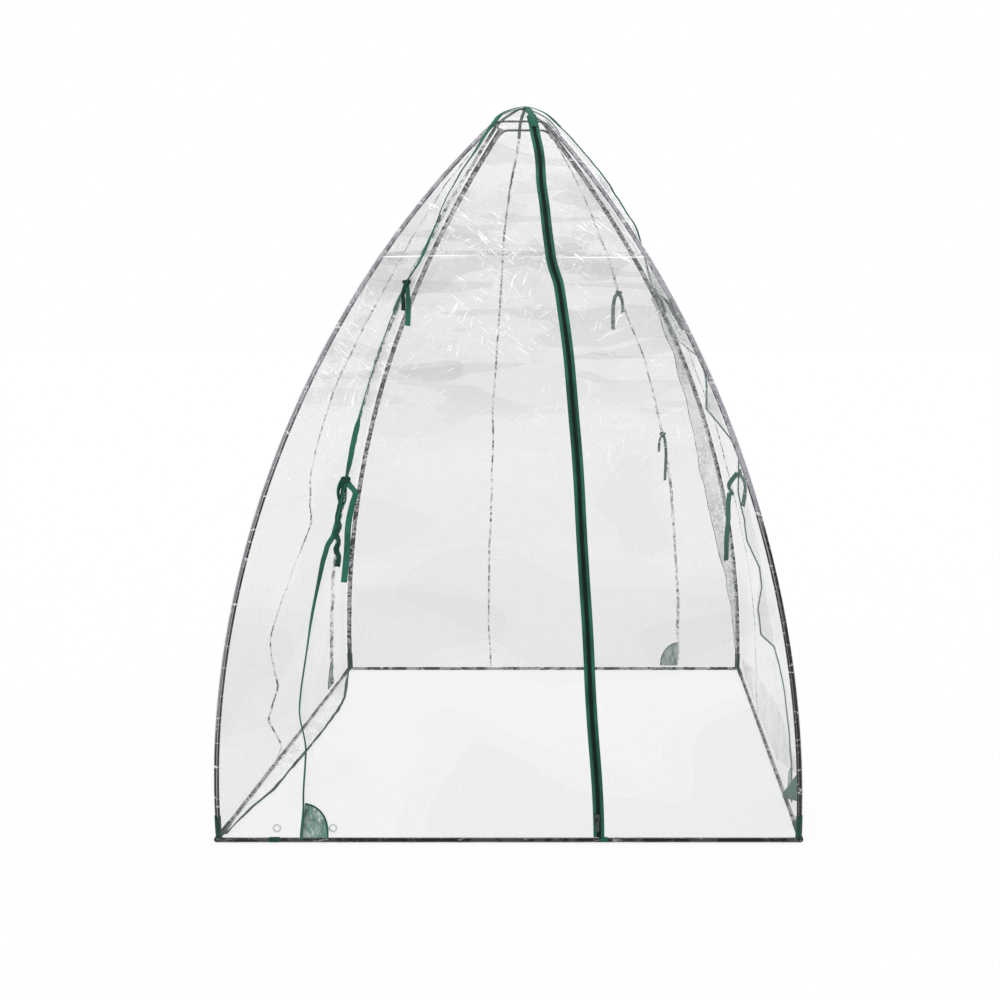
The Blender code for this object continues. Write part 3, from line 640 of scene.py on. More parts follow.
def tape_material(name, colour=(0.007, 0.082, 0.052), light=(0.022, 0.165, 0.112), pitch=0.0016):
    n = Nodes(name)
    cloth, normal = weave(n, pitch, pitch * 0.8)
    lit_patches = n.noise((9, 9, 9), 3.0, 0.55)
    worn = n.noise((160, 160, 160), 2.0, 0.6)
    # Painted light: broad patches run from the tape's own colour to a lighter, lit copy of it.
    tint = n.mix(n.ramp(lit_patches, 0.38, 0.68), colour, light)
    tint = n.mix(n.ramp(cloth, -1.0, 1.0, 0.0, 0.35, "LINEAR"), tint, tuple(c * 0.40 for c in colour))
    normal = n.bump(worn, 0.25, 0.0008, normal)
    n.set(Base_Color=tint, Normal=normal, Roughness=n.ramp(worn, 0.3, 0.7, 0.62, 0.85))
    n.shader.inputs["Specular IOR Level"].default_value = 0.25
    n.shader.inputs["Sheen Weight"].default_value = 0.12
    n.shader.inputs["Sheen Roughness"].default_value = 0.4
    return n.material


def faded_tape_material(name):
    """Seam binding that the film half covers, so that it shows as broken green marks."""
    n = Nodes(name)
    cloth, normal = weave(n, 0.0016, 0.0013)
    marks = n.noise((55, 55, 60), 3.0, 0.62, 0.8)
    long_ = n.noise((9, 9, 6), 2.0, 0.5)
    tint = n.mix(n.ramp(marks, 0.42, 0.60), (0.004, 0.040, 0.026), (0.070, 0.190, 0.150))
    tint = n.mix(n.ramp(cloth, -1.0, 1.0, 0.0, 0.3, "LINEAR"), tint, (0.002, 0.030, 0.018))
    alpha = n.math("MULTIPLY", n.ramp(marks, 0.36, 0.56, 1.0, 0.12), n.ramp(long_, 0.35, 0.60, 0.45, 1.0))
    return n.set(Base_Color=tint, Alpha=alpha, Normal=normal, Roughness=0.6)


def patch_material(name):
    """Glossy coated cloth seen through film: upright streaks from dark green to white, the white a painted
    sheen.
    """
    n = Nodes(name)
    cloth, normal = weave(n, 0.0022, 0.0020)
    streaks = n.noise((210, 210, 34), 3.0, 0.62, 1.4)
    broad = n.noise((40, 40, 22), 2.0, 0.5, 0.8)
    tint = n.mix(n.ramp(streaks, 0.34, 0.56), (0.004, 0.045, 0.028), (0.030, 0.190, 0.130))
    # Painted sheen: white streaks where the glossy cloth mirrors the lamps.
    painted_sheen = n.math("MULTIPLY", n.ramp(streaks, 0.52, 0.66), n.ramp(broad, 0.40, 0.60, 0.25, 1.0))
    tint = n.mix(painted_sheen, tint, (0.62, 0.74, 0.74))
    alpha = n.ramp(broad, 0.30, 0.70, 0.95, 0.72)
    normal = n.bump(streaks, 0.5, 0.002, normal)
    return n.set(Base_Color=tint, Alpha=alpha, Normal=normal, Roughness=0.22)


def coil_material(name):
    n = Nodes(name)
    split = n.value("ShaderNodeSeparateXYZ")
    n.link(n.coords.outputs["UV"], split.inputs["Vector"])
    teeth = n.math("SINE", n.math("MULTIPLY", split.outputs[1], 2 * math.pi / 0.0025))
    colour = n.mix(n.ramp(teeth, -0.4, 0.6), (0.001, 0.004, 0.003), (0.006, 0.022, 0.016))
    n.shader.inputs["Specular IOR Level"].default_value = 0.15
    return n.set(Base_Color=colour, Normal=n.bump(teeth, 0.5, 0.0009), Roughness=0.45)


def rod_material(name):
    n = Nodes(name)
    grain = n.noise((400, 400, 22), 3.0, 0.6)
    colour = n.mix(n.ramp(grain, 0.35, 0.7), (0.004, 0.005, 0.005), (0.020, 0.022, 0.021))
    rough = n.ramp(grain, 0.3, 0.7, 0.18, 0.32)
    return n.set(Base_Color=colour, Roughness=rough, Normal=n.bump(grain, 0.2, 0.0004))


def metal_material(name, colour=(0.30, 0.31, 0.31), metallic=0.9):
    n = Nodes(name)
    wear = n.noise((120, 120, 120), 4.0, 0.6)
    tint = n.mix(n.ramp(wear, 0.45, 0.75), colour, tuple(c * 1.7 for c in colour))
    rough = n.ramp(wear, 0.3, 0.75, 0.24, 0.46)
    return n.set(Base_Color=tint, Metallic=metallic, Roughness=rough, Normal=n.bump(wear, 0.15, 0.0004))


FILM = film_material()
TAPE = tape_material("green_tape")
# The green tape in its shaded colour: painted shade on the knots, twisted ends, wraps, pegs and edges that
# use it.
SHADED_TAPE = tape_material("shaded_green_tape", (0.003, 0.032, 0.020), (0.010, 0.080, 0.052))
PATCH = patch_material("green_patch")
FADED = faded_tape_material("half_covered_tape")
HEM_EDGE = tape_material("hem_edge", (0.003, 0.036, 0.022), (0.055, 0.150, 0.115), 0.0024)
COIL = coil_material("zip_coil")
ROD = rod_material("glass_fibre_rod")
STEEL = metal_material("ferrule_steel", (0.42, 0.43, 0.44))
SLIDER = metal_material("slider_metal", (0.055, 0.060, 0.060), 0.7)
FRONT_SLEEVES = {
    "front_right": banded_sleeve(
        "front_right_rib_sleeve", (0.80, 0.80), (0.88, 0.72), reflection_from=0.70, reflection_to=0.95, pale_from=0.72,
        shine_low=0.30, breaks=0.7
    ),
    "front_left": banded_sleeve(
        "front_left_rib_sleeve", (0.75, 0.80), (0.88, 0.72), reflection_from=0.80, reflection_to=1.20, pale_from=0.22
    ),
}
BACK_SLEEVE = banded_sleeve(
    "back_rib_sleeve", (0.75, 0.75), (0.80, 0.75), (48, 48, 70), 0.5, 1.2, edging=0.0,
    dark=(0.03, 0.03, 0.035), low_tone=(0.45, 0.45, 0.47),
)
HEM_SLEEVE = banded_sleeve(
    "hem_sleeve", (0.85, 0.75), (0.85, 0.75), (16, 16, 16), breaks=0.3, edging=0.0,
    low_tone=(0.05, 0.05, 0.055),
)
SIDE_HEM_SLEEVE = banded_sleeve(
    "side_hem_sleeve", (0.70, 0.70), (0.62, 0.62), (20, 20, 20), breaks=1.0, edging=0.0,
    low_tone=(0.42, 0.42, 0.44),
)
CRUMPLED = crumpled_material("crumpled_film", 0.30, 0.62, (0.26, 0.28, 0.28), (0.66, 0.68, 0.68))
SKIRT = crumpled_material("loose_hem_film", 0.16, 0.40, (0.34, 0.36, 0.35), (0.72, 0.74, 0.73), (30, 30, 40))


def ring_material(name):
    n = Nodes(name)
    haze = n.noise((300, 300, 300), 2.0)
    alpha = n.ramp(haze, 0.3, 0.7, 0.55, 0.8)
    return n.set(Base_Color=(0.60, 0.62, 0.62), Alpha=alpha, Roughness=0.12)


RING = ring_material("clear_ring")


def finish_piece(piece, material, body="frame_and_cover", replaces=()):
    piece.data.materials.clear()
    piece.data.materials.append(material)
    if body:
        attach(piece, body)
    if replaces:
        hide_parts(*replaces)
    return piece


# ---------------------------------------------------------------- camera, lights, floor

camera = bpy.data.objects.new("camera", bpy.data.cameras.new("camera"))
bpy.context.scene.collection.objects.link(camera)
camera.location = (0.250, -3.274, 1.210)
camera.rotation_euler = (math.radians(90 - 8.546), 0, 0)
camera.data.lens = 41.40
camera.data.sensor_width = 36.0
camera.data.shift_x = -0.1139
bpy.context.scene.camera = camera
bpy.context.scene.view_settings.view_transform = "Standard"


def area_light(name, place, aim, size, watts, colour=(1, 1, 1)):
    light = bpy.data.lights.new(name, "AREA")
    light.shape = "RECTANGLE"
    light.size, light.size_y = size
    light.energy = watts
    light.color = colour
    lamp = bpy.data.objects.new(name, light)
    bpy.context.scene.collection.objects.link(lamp)
    lamp.location = place
    lamp.rotation_euler = (Vector(aim) - Vector(place)).to_track_quat("-Z", "Y").to_euler()


area_light("key", (-3.2, -3.6, 4.2), (0, 0, 0.8), (2.0, 2.0), 150)
area_light("fill", (4.2, -2.4, 2.4), (0, 0, 0.8), (1.2, 3.0), 75)
area_light("back", (0.5, 4.5, 3.4), (0, 0, 0.9), (4.0, 1.2), 90)
area_light("top", (0, 0, 5.5), (0, 0, 0), (2.0, 2.0), 60)

# The studio is white to the eye and dimmer in reflections, which leaves dark edges in glossy parts.
world = bpy.data.worlds.new("studio")
bpy.context.scene.world = world
world.use_nodes = True
world_tree = world.node_tree
seen = world_tree.nodes["Background"]
seen.inputs["Color"].default_value = (1, 1, 1, 1)
seen.inputs["Strength"].default_value = 1.0
mirrored = world_tree.nodes.new("ShaderNodeBackground")
mirrored.inputs["Strength"].default_value = 0.55
choice = world_tree.nodes.new("ShaderNodeMixShader")
path_kind = world_tree.nodes.new("ShaderNodeLightPath")
world_tree.links.new(path_kind.outputs["Is Camera Ray"], choice.inputs["Fac"])
world_tree.links.new(mirrored.outputs["Background"], choice.inputs[1])
world_tree.links.new(seen.outputs["Background"], choice.inputs[2])
world_tree.links.new(choice.outputs["Shader"], world_tree.nodes["World Output"].inputs["Surface"])

floor_mesh = bpy.data.meshes.new("floor")
floor_mesh.from_pydata([(-60, -60, 0), (60, -60, 0), (60, 60, 0), (-60, 60, 0)], [], [(0, 1, 2, 3)])
floor = bpy.data.objects.new("floor", floor_mesh)
bpy.context.scene.collection.objects.link(floor)
floor_nodes = Nodes("pale_floor")
floor_mesh.materials.append(floor_nodes.set(Base_Color=(0.40, 0.40, 0.40), Roughness=0.9))
floor_nodes.shader.inputs["Specular IOR Level"].default_value = 0.0
floor_nodes.shader.inputs["Emission Color"].default_value = (1, 1, 1, 1)
floor_nodes.shader.inputs["Emission Strength"].default_value = 0.826
# The lamps light the object only, so that the floor stays even out to the horizon.
unlit = bpy.data.collections.new("unlit_by_lamps")
unlit.objects.link(floor)
unlit.collection_objects[0].light_linking.link_state = "EXCLUDE"
for lamp in [o for o in bpy.context.scene.objects if o.type == "LIGHT"]:
    lamp.light_linking.receiver_collection = unlit


# ---------------------------------------------------------------- film

GORES = {
    0: ("door_film", "door_panel"),
    1: ("corner_film_front_right", "corner_panel_front_right"),
    2: ("right_film", "right_panel"),
    3: ("corner_film_back_right", "corner_panel_back_right"),
    4: ("back_film", "back_panel"),
    5: ("corner_film_back_left", "corner_panel_back_left"),
    6: ("left_film", "left_panel"),
    7: ("corner_film_front_left", "corner_panel_front_left"),
}


def mesh_area(obj):
    return sum(polygon.area for polygon in obj.data.polygons)


def seam_gap(seam, z):
    """Half the width of tape between two gores, as a share of the reach."""
    return (0.0105 if seam % 8 == 1 else 0.0004) / reach(z)


def make_gore(seam):
    name, node = GORES[seam]
    across = 56 if seam % 2 else 40
    heights = [FILM_Z + (TOP_Z - FILM_Z) * i / 170 for i in range(171)]
    rows, uvs = [], []
    for z in heights:
        left = seam_round(seam, z) + seam_gap(seam, z)
        right = seam_round(seam + 1, z) - seam_gap(seam + 1, z)
        if seam == 7:
            right = seam_round(0, z) + 8 - seam_gap(0, z)
        row, uv = [], []
        for c in range(across + 1):
            t = c / across
            if seam % 2:
                # More columns where the film rounds the rib.
                t = 0.5 + (t - 0.5) * lerp(0.55, 1.0, abs(2 * t - 1))
                t = lerp(c / across, t, 0.8)
            place = lerp(left, right, t)
            row.append(film(place, z)[0])
            uv.append((abs(place - 2 * round(place / 2)) * reach(z), z))
        rows.append(row)
        uvs.append(uv)
    piece = grid(name, rows, uvs=uvs)
    return piece, node


film_pieces = {}
for seam in GORES:
    piece, node = make_gore(seam)
    body = None if seam == 0 else "frame_and_cover"
    finish_piece(piece, FILM, body, [node])
    film_pieces[seam] = piece


# The area of each gore. The width is nominal: it is the one at which the gore fills
# this share of a rectangle.
for piece in film_pieces.values():
    area = mesh_area(piece)

# ---------------------------------------------------------------- door pieces, with their transforms baked in


def ride_door(piece):
    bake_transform(piece)


ride_door(film_pieces[0])


# ---------------------------------------------------------------- seam tapes


def tape_path(seam, low, high, steps, out):
    points, normals = [], []
    for i in range(steps + 1):
        z = lerp(low, high, i / steps)
        point, normal = film(seam_round(seam, z), z, out)
        points.append(point)
        normals.append(normal)
    return points, normals


def fin_sides(points, normals, lean):
    """Across-directions of a tape that stands off the film at an angle: 0 flat on it, 90 upright."""
    sides = []
    for i, normal in enumerate(normals):
        ahead = (points[min(i + 1, len(points) - 1)] - points[max(i - 1, 0)]).normalized()
        flat = ahead.cross(normal).normalized()
        angle = math.radians(lean(i, points[i].z))
        sides.append(flat * math.cos(angle) + normal * math.sin(angle))
    return sides


# How far the front tie seam's tape is folded up off the film, in degrees, by height.
FRONT_LEAN = (
    (0.00, 45), (0.15, 60), (0.45, 62), (0.58, 45), (0.69, 15), (0.73, 5), (0.77, 52), (0.86, 45), (0.90, 12),
    (0.97, 0), (1.00, 55), (1.08, 80), (1.20, 74), (1.30, 55), (1.40, 42), (1.50, 64), (1.62, 50), (1.70, 30),
    (1.77, 15),
)
TIE_TAPE = 0.0130


def make_tie_seam(seam):
    face = seam // 2

    def lean(i, z):
        if face == 0:
            return curve_through(FRONT_LEAN, z)
        if face == 1:
            return 14 + 22 * noise.noise(Vector((3.7, z * 4.0, 1.5)))
        return 48 + 34 * noise.noise(Vector((face * 3.7, z * 3.0, 1.5)))

    points, normals = tape_path(seam, FILM_Z, TOP_Z + 0.004, 220, 0.0)
    for i, normal in enumerate(normals):
        rise = TIE_TAPE / 2 * math.sin(math.radians(lean(i, points[i].z)))
        points[i] = points[i] + normal * (rise + 0.0018)
    sides = fin_sides(points, normals, lean)
    name = "tie_seam_tape_" + FACES[face]
    tape = ribbon(name, points, sides, TIE_TAPE, 0.0014, columns=4, curl=lambda i, run: 0.30)
    node = "tie_seam_" + FACES[face]
    finish_piece(tape, FADED if face > 1 else TAPE, "frame_and_cover", [node])


def make_plain_seam(seam):
    face = seam // 2
    points, normals = tape_path(seam, FILM_Z, TOP_Z + 0.002, 150, 0.0012)
    sides = fin_sides(points, normals, lambda i, z: 20 + 30 * noise.noise(Vector((seam, z * 3, 0))))
    name = "plain_seam_tape_" + FACES[face]
    tape = ribbon(name, points, sides, 0.0070, 0.0012, columns=2)
    node = "plain_seam_" + FACES[face]
    finish_piece(tape, FADED, "frame_and_cover", [node])


for seam in (0, 2, 4, 6):
    make_tie_seam(seam)
for seam in (3, 5, 7):
    make_plain_seam(seam)


# ---------------------------------------------------------------- zip


def zip_side(side):
    """One tape of the zip with its coil; side is 1 right of the line and -1 on the door."""
    points, normals = [], []
    steps = 220
    for i in range(steps + 1):
        z = lerp(0.016, TOP_Z + 0.006, i / steps)
        point, normal = film(seam_round(1, z), z, 0.0012)
        points.append(point)
        normals.append(normal)
    flats = []
    for i, normal in enumerate(normals):
        ahead = (points[min(i + 1, steps)] - points[max(i - 1, 0)]).normalized()
        flats.append(ahead.cross(normal).normalized())
    tape_rows = [p + f * side * 0.0078 for p, f in zip(points, flats)]
    tape = ribbon("tape", tape_rows, flats, 0.0105, 0.0011, columns=4, curl=lambda i, run: 0.10)
    coil_rows = [p + f * side * 0.0024 + n * 0.0012 for p, f, n in zip(points, flats, normals)]

    def oval(i, run):
        return 0.0024, 0.0015 + 0.0003 * math.sin(run * 2 * math.pi / 0.0125), flats[i]

    coil = tube("coil", coil_rows, 0.002, sides=10, flat=oval)
    tape.data.materials.append(TAPE)
    coil.data.materials.append(COIL)
    return join("zip_tape_" + ("fixed" if side > 0 else "door") + "_detail", [tape, coil])


fixed = zip_side(1)
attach(fixed, "frame_and_cover")
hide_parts("zip_tape_fixed")
moving = zip_side(-1)
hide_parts("zip_tape_door")
ride_door(moving)


# ---------------------------------------------------------------- ribs and hems


def rib_path(corner, low, high, steps, depth=0.010):
    points = []
    for i in range(steps + 1):
        z = lerp(low, high, i / steps)
        r = reach(z) - depth * math.sqrt(1 + slope(z) ** 2)
        points.append(turned((r, -r, z), corner))
    return points


for corner, label in enumerate(CORNERS):
    path = rib_path(corner, 0.012, 1.758, 260)
    across = turned((1, 1, 0), corner).normalized()
    seed = Vector((corner * 11.0, 3.0, 0.0))
    hand = -1 if label.endswith("left") else 1
    front = label.startswith("front")

    def oval(i, run, across=across, seed=seed, front=front):
        wrinkle = noise.noise(seed + Vector((0, 0, run * 26))) * (0.0002 if front else 0.0008)
        return 0.0088 + wrinkle, 0.0050 + wrinkle * 0.6, across

    def turn(share, hand=hand):
        return ((share - 0.75) * hand + 0.5) % 1.0 - 0.5

    sleeve = tube("rib_sleeve_" + label, path, 0.006, sides=32, flat=oval, caps=False, turn=turn)
    material = FRONT_SLEEVES.get(label, BACK_SLEEVE)
    finish_piece(sleeve, material, "frame_and_cover", ["corner_sleeve_" + label])


def rod_path(face, start, stop, steps, lift=0.0003):
    points = []
    for i in range(steps + 1):
        points.append(turned((lerp(start, stop, i / steps), -ROD_Y, ROD_Z + lift), face))
    return points


for face, label in enumerate(FACES):
    seed = Vector((face * 7.0, 1.0, 0.0))
    upright = Vector((0, 0, 1))

    def oval(i, run, seed=seed):
        wrinkle = noise.noise(seed + Vector((0, 0, run * 18))) * 0.0003
        return 0.0058 + wrinkle, 0.0056 + wrinkle, upright

    # The turn puts the sleeve's painted highlight along the top of the hem.
    hem = tube(
        "base_hem_" + label, rod_path(face, -0.694, 0.694, 200), 0.0058, sides=24, flat=oval, caps=False,
        turn=lambda share: (share - 0.14 + 0.5) % 1.0 - 0.5,
    )
    material = HEM_SLEEVE if label == "front" else SIDE_HEM_SLEEVE
    finish_piece(hem, material, "frame_and_cover", ["base_sleeve_" + label])

# Green band wound round the foot of each corner, and along the end of the side rods.
for corner, label in enumerate(CORNERS):
    across = turned((1, 1, 0), corner).normalized()

    def wound(i, run, across=across):
        ridge = 0.0004 * abs(math.sin(run * math.pi / 0.0085))
        return 0.0098 + ridge, 0.0062 + ridge, across

    foot = tube("foot", rib_path(corner, 0.010, 0.064, 60), 0.01, sides=20, flat=wound)

    def rod_wound(i, run):
        ridge = 0.0004 * abs(math.sin(run * math.pi / 0.0085))
        return 0.0062 + ridge, 0.0062 + ridge, Vector((0, 0, 1))

    side_face = 1 if label.endswith("right") else 3
    ahead = 1 if (label == "front_right" or label == "back_left") else -1
    ends = (-0.693, -0.600) if ahead > 0 else (0.600, 0.693)
    along = tube("along", rod_path(side_face, *ends, 70), 0.006, sides=16, flat=rod_wound)
    wrap = join("corner_wrap_" + label, [foot, along])
    finish_piece(wrap, SHADED_TAPE, "frame_and_cover", ["corner_lashing_" + label])


# ---------------------------------------------------------------- ties


def on_face(seam, height, dx, dz, out):
    """A point on the film near a seam: dx to the right of the seam at a height, dz up from there."""
    face = seam // 2
    lateral = (seam_round(seam, height) - 2 * face - 1) * reach(height) + dx
    z = height + dz
    return film(2 * face + 1 + lateral / reach(z), z, out)


def strap(seam, height, marks, width, thick=0.0014, ripple=0.0, steps=8):
    """A flat strap through marks of (dx, dz, out, lean in degrees)."""
    guide = spline([(dx, dz, out) for dx, dz, out, lean in marks], steps)
    leans = spline([(lean, 0, 0) for dx, dz, out, lean in marks], steps)
    points, normals = [], []
    for i, (dx, dz, out) in enumerate(guide):
        wave = ripple * (0.5 + 0.5 * math.sin(i * 1.9 + seam))
        point, normal = on_face(seam, height, dx, dz, out + wave)
        points.append(point)
        normals.append(normal)
    sides = fin_sides(points, normals, lambda i, z: leans[i].x)
    return ribbon("strap", points, sides, width, thick, columns=4, curl=lambda i, run: 0.22)


def knot(seam, height, size=1.0, dx=0.0):
    """A pulled-tight overhand knot."""
    centre, normal = on_face(seam, height, dx, 0.0, 0.0065 * size)
    above, _ = on_face(seam, height, dx, 0.02, 0.0065 * size)
    up = (above - centre).normalized()
    right = up.cross(normal).normalized()
    path = []
    for i in range(49):
        t = 2 * math.pi * i / 48
        a = math.sin(t) + 2 * math.sin(2 * t)
        b = math.cos(t) - 2 * math.cos(2 * t)
        c = -math.sin(3 * t)
        path.append(centre + right * a * 0.0029 * size + up * b * 0.0027 * size + normal * c * 0.0022 * size)
    return tube("knot", path, 0.0030 * size, sides=10)


def tie_piece(name, parts, node, door=False, materials=None):
    for part, material in zip(parts, materials or [TAPE] * len(parts)):
        part.data.materials.append(material)
    piece = join(name, parts) if len(parts) > 1 else parts[0]
    piece.name = piece.data.name = name
    if door:
        ride_door(piece)
    else:
        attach(piece, "frame_and_cover")
    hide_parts(node)


UPPER, LOWER = TIE_Z
# Front, lower: a knot, a small loop on its left, a crumpled end and a long flat strap.
loop = strap(
    0, LOWER,
    ((0, 0, 0.006, 20), (-0.010, -0.004, 0.006, 40), (-0.017, -0.025, 0.006, 62), (-0.014, -0.046, 0.005, 66),
     (-0.006, -0.056, 0.005, 40), (0.001, -0.040, 0.004, 60), (0, 0, 0.004, 60)),
    0.0115,
)
tie_piece("tie_knot_front_lower_detail", [knot(0, LOWER, 1.08), loop], "tie_knot_front_lower",
          materials=[SHADED_TAPE, TAPE])
bow = strap(
    0, LOWER,
    ((0.002, -0.002, 0.006, 10), (0.010, -0.012, 0.008, 25), (0.024, -0.030, 0.009, 40),
     (0.017, -0.056, 0.007, 36), (0.009, -0.100, 0.006, 22), (0.007, -0.160, 0.006, 8),
     (0.002, -0.233, 0.007, 4)),
    0.0145,
)
crumpled_end = strap(
    0, LOWER,
    ((-0.002, -0.004, 0.005, 40), (-0.008, -0.040, 0.006, 55), (-0.016, -0.090, 0.007, 15),
     (-0.010, -0.105, 0.008, 60), (-0.019, -0.122, 0.007, 10), (-0.012, -0.140, 0.008, 58),
     (-0.018, -0.158, 0.006, 12), (-0.011, -0.176, 0.008, 50), (-0.015, -0.197, 0.006, 20)),
    0.0135, ripple=0.003,
)
tie_piece("tie_tail_front_lower_detail", [bow, crumpled_end], "tie_tail_front_lower", door=True,
          materials=[TAPE, SHADED_TAPE])
# Front, upper: a knot in the tape's shaded colour, painted shade, with two short ends.
tie_piece("tie_knot_front_upper_detail", [knot(0, UPPER, 1.0)], "tie_knot_front_upper", materials=[SHADED_TAPE])
short_a = strap(
    0, UPPER,
    ((0.001, -0.002, 0.006, 30), (0.006, -0.030, 0.008, 35), (0.009, -0.060, 0.006, 25),
     (0.010, -0.105, 0.006, 20)),
    0.0125,
)
short_b = strap(
    0, UPPER,
    ((-0.001, -0.002, 0.006, 40), (-0.006, -0.024, 0.008, 55), (-0.004, -0.046, 0.006, 30),
     (-0.003, -0.068, 0.005, 25)),
    0.0110,
)
tie_piece("tie_tail_front_upper_detail", [short_a, short_b], "tie_tail_front_upper", door=True,
          materials=[TAPE, SHADED_TAPE])

# The other faces' ties: knot, one or two loops, and a strap that hangs.
SIDE_TIES = {
    "right_lower": (2, LOWER, (
        ((0, 0, 0.005, 20), (-0.030, -0.014, 0.012, 30), (-0.044, -0.040, 0.014, 36),
         (-0.020, -0.078, 0.008, 30)),
        ((0, 0, 0.000, 20), (0.020, -0.012, -0.010, 30), (0.040, -0.030, -0.022, 40),
         (0.030, -0.052, -0.012, 30)),
        ((0.030, -0.044, -0.020, 80), (0.036, -0.080, -0.034, 86), (0.040, -0.140, -0.054, 86),
         (0.038, -0.215, -0.080, 84)),
    )),
    "right_upper": (2, UPPER, (
        ((0, 0, 0.004, 20), (0.030, -0.020, 0.008, 30), (0.045, -0.060, 0.004, 45),
         (0.040, -0.110, 0.003, 40)),
        ((0, 0, 0.004, 20), (-0.020, -0.020, 0.008, 30), (-0.026, -0.055, 0.006, 30)),
    )),
    "back_upper": (4, UPPER, (
        ((0, 0, 0.004, 20), (0.012, -0.012, 0.008, 20), (0.018, -0.050, 0.006, 12),
         (0.018, -0.115, 0.005, 8)),
        ((0, 0, 0.004, 50), (-0.010, -0.020, 0.008, 50), (-0.012, -0.060, 0.006, 40)),
    )),
    "back_lower": (4, LOWER, (
        ((0, 0, 0.004, 50), (-0.008, -0.020, 0.008, 50), (-0.012, -0.070, 0.006, 40),
         (-0.010, -0.160, 0.005, 40)),
        ((0, 0, 0.004, 50), (0.010, -0.020, 0.008, 50), (0.012, -0.060, 0.006, 40)),
    )),
    "left_upper": (6, UPPER, (
        ((0, 0, 0.004, 50), (-0.010, -0.020, 0.008, 50), (-0.014, -0.070, 0.006, 40)),
        ((0, 0, 0.004, 50), (0.010, -0.020, 0.008, 50), (0.012, -0.060, 0.006, 40)),
    )),
    "left_lower": (6, LOWER, (
        ((0, 0, 0.004, 50), (-0.010, -0.020, 0.008, 50), (-0.016, -0.090, 0.006, 30),
         (-0.014, -0.190, 0.006, 10)),
        ((0, 0, 0.004, 50), (0.012, -0.016, 0.008, 50), (0.016, -0.060, 0.006, 40)),
    )),
}
for label, (seam, height, ends) in SIDE_TIES.items():
    parts = [knot(seam, height)] + [strap(seam, height, marks, 0.0125) for marks in ends]
    tie_piece("tie_detail_" + label, parts, "tie_" + label)


# ---------------------------------------------------------------- patches and eyelets

PATCH_HIGH = 0.084


def make_patch(face):
    label = FACES[face]
    seam = 2 * face
    rows, uvs, rim, rim_normals = [], [], [], []
    for i in range(25):
        t = i / 24
        z = 0.0145 + PATCH_HIGH * t
        wide = 0.058 * (1 - t**2.4) ** 0.62 + 0.0015
        row, uv = [], []
        for c in range(15):
            a = c / 14
            puff = 0.0035 * math.sin(math.pi * a) * math.sin(math.pi * min(t * 1.2, 1))
            fold = 0.0012 * noise.noise(Vector((a * 9 + face, t * 3, 2.0)))
            row.append(on_face(seam, z, wide * a + 0.002, 0.0, 0.0030 + puff + fold)[0])
            uv.append((wide * a, z))
        rows.append(row)
        uvs.append(uv)
        point, normal = on_face(seam, z, wide + 0.002, 0.0, 0.0040)
        rim.append(point)
        rim_normals.append(normal)
    cloth = grid("cloth", rows, uvs=uvs)
    edge = ribbon("edge", rim, fin_sides(rim, rim_normals, lambda i, z: 12), 0.0050, 0.0012, columns=2)
    cloth.data.materials.append(PATCH)
    edge.data.materials.append(TAPE)
    piece = join("patch_detail_" + label, [cloth, edge])
    if face == 0:
        ride_door(piece)
    else:
        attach(piece, "frame_and_cover")
    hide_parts("seam_patch_" + label)


for face in range(4):
    make_patch(face)

# ---------------------------------------------------------------- crown


def crown_point(x, y, lift=0.0):
    """Top of the cap over a point of the square at the crown."""
    near = max(abs(x), abs(y)) / TOP_REACH
    return Vector((x, y, 1.7665 + 0.0325 * (1 - min(near, 1.0) ** 1.7) + lift))


def make_cap():
    rows = []
    for i in range(13):
        r = TOP_REACH * (1 - i / 12) + 0.0006
        row = []
        for k in range(64):
            a = 2 * math.pi * k / 64
            square = r / max(abs(math.cos(a)), abs(math.sin(a)))
            x, y = square * math.cos(a), square * math.sin(a)
            rumple = 0.0016 * noise.noise(Vector((x * 60, y * 60, 3.0))) * min(i / 3, 1)
            row.append(crown_point(x, y, rumple))
        rows.append(row)
    cap = grid("crown_film", rows, closed=True, uvs=[[(1.0, 0.0)] * 64] * 13)
    finish_piece(cap, FILM, "frame_and_cover", ["crown_cap"])


make_cap()


def over_crown(start_seam, end_seam, meet, lift, width):
    """A tape from the top of one seam over the crown to another; meet is where it crosses the middle."""
    ends = []
    for seam in (start_seam, end_seam):
        low = film(seam_round(seam, 1.735), 1.735, 0.0045)[0]
        top = film(seam_round(seam, TOP_Z), TOP_Z, 0.0035)[0]
        inner = crown_point(lerp(top.x, meet[0], 0.45), lerp(top.y, meet[1], 0.45), 0.0035 + lift)
        ends.append((low, top + Vector((0, 0, 0.0025)), inner))
    middle = crown_point(*meet, 0.003 + lift)
    path = spline([*ends[0], middle, *reversed(ends[1])], 9)
    sides = []
    for i, point in enumerate(path):
        ahead = (path[min(i + 1, len(path) - 1)] - path[max(i - 1, 0)]).normalized()
        away = (point - Vector((0, 0, 1.66))).normalized()
        sides.append(ahead.cross(away).normalized())
    half = len(path) / 2
    widths = [lerp(width, min(width, 0.009), smooth(half - 4, half + 6, i)) for i in range(len(path))]
    if start_seam != 1:
        widths = [width] * len(path)
    return ribbon("crown", path, sides, widths, 0.0014, columns=4, curl=lambda i, run: 0.3)


tapes = [
    over_crown(4, 6, (-0.004, 0.008), 0.0, 0.0125),
    over_crown(3, 7, (0.004, 0.004), 0.0008, 0.0100),
    over_crown(1, 5, (0.010, -0.002), 0.0020, 0.0190),
    over_crown(0, 2, (0.008, -0.010), 0.0034, 0.0135),
]
for tape in tapes:
    tape.data.materials.append(TAPE)
crown_star = join("crown_tapes", tapes)
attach(crown_star, "frame_and_cover")
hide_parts("crown_tape")

# ---------------------------------------------------------------- loose film at the sides and hems


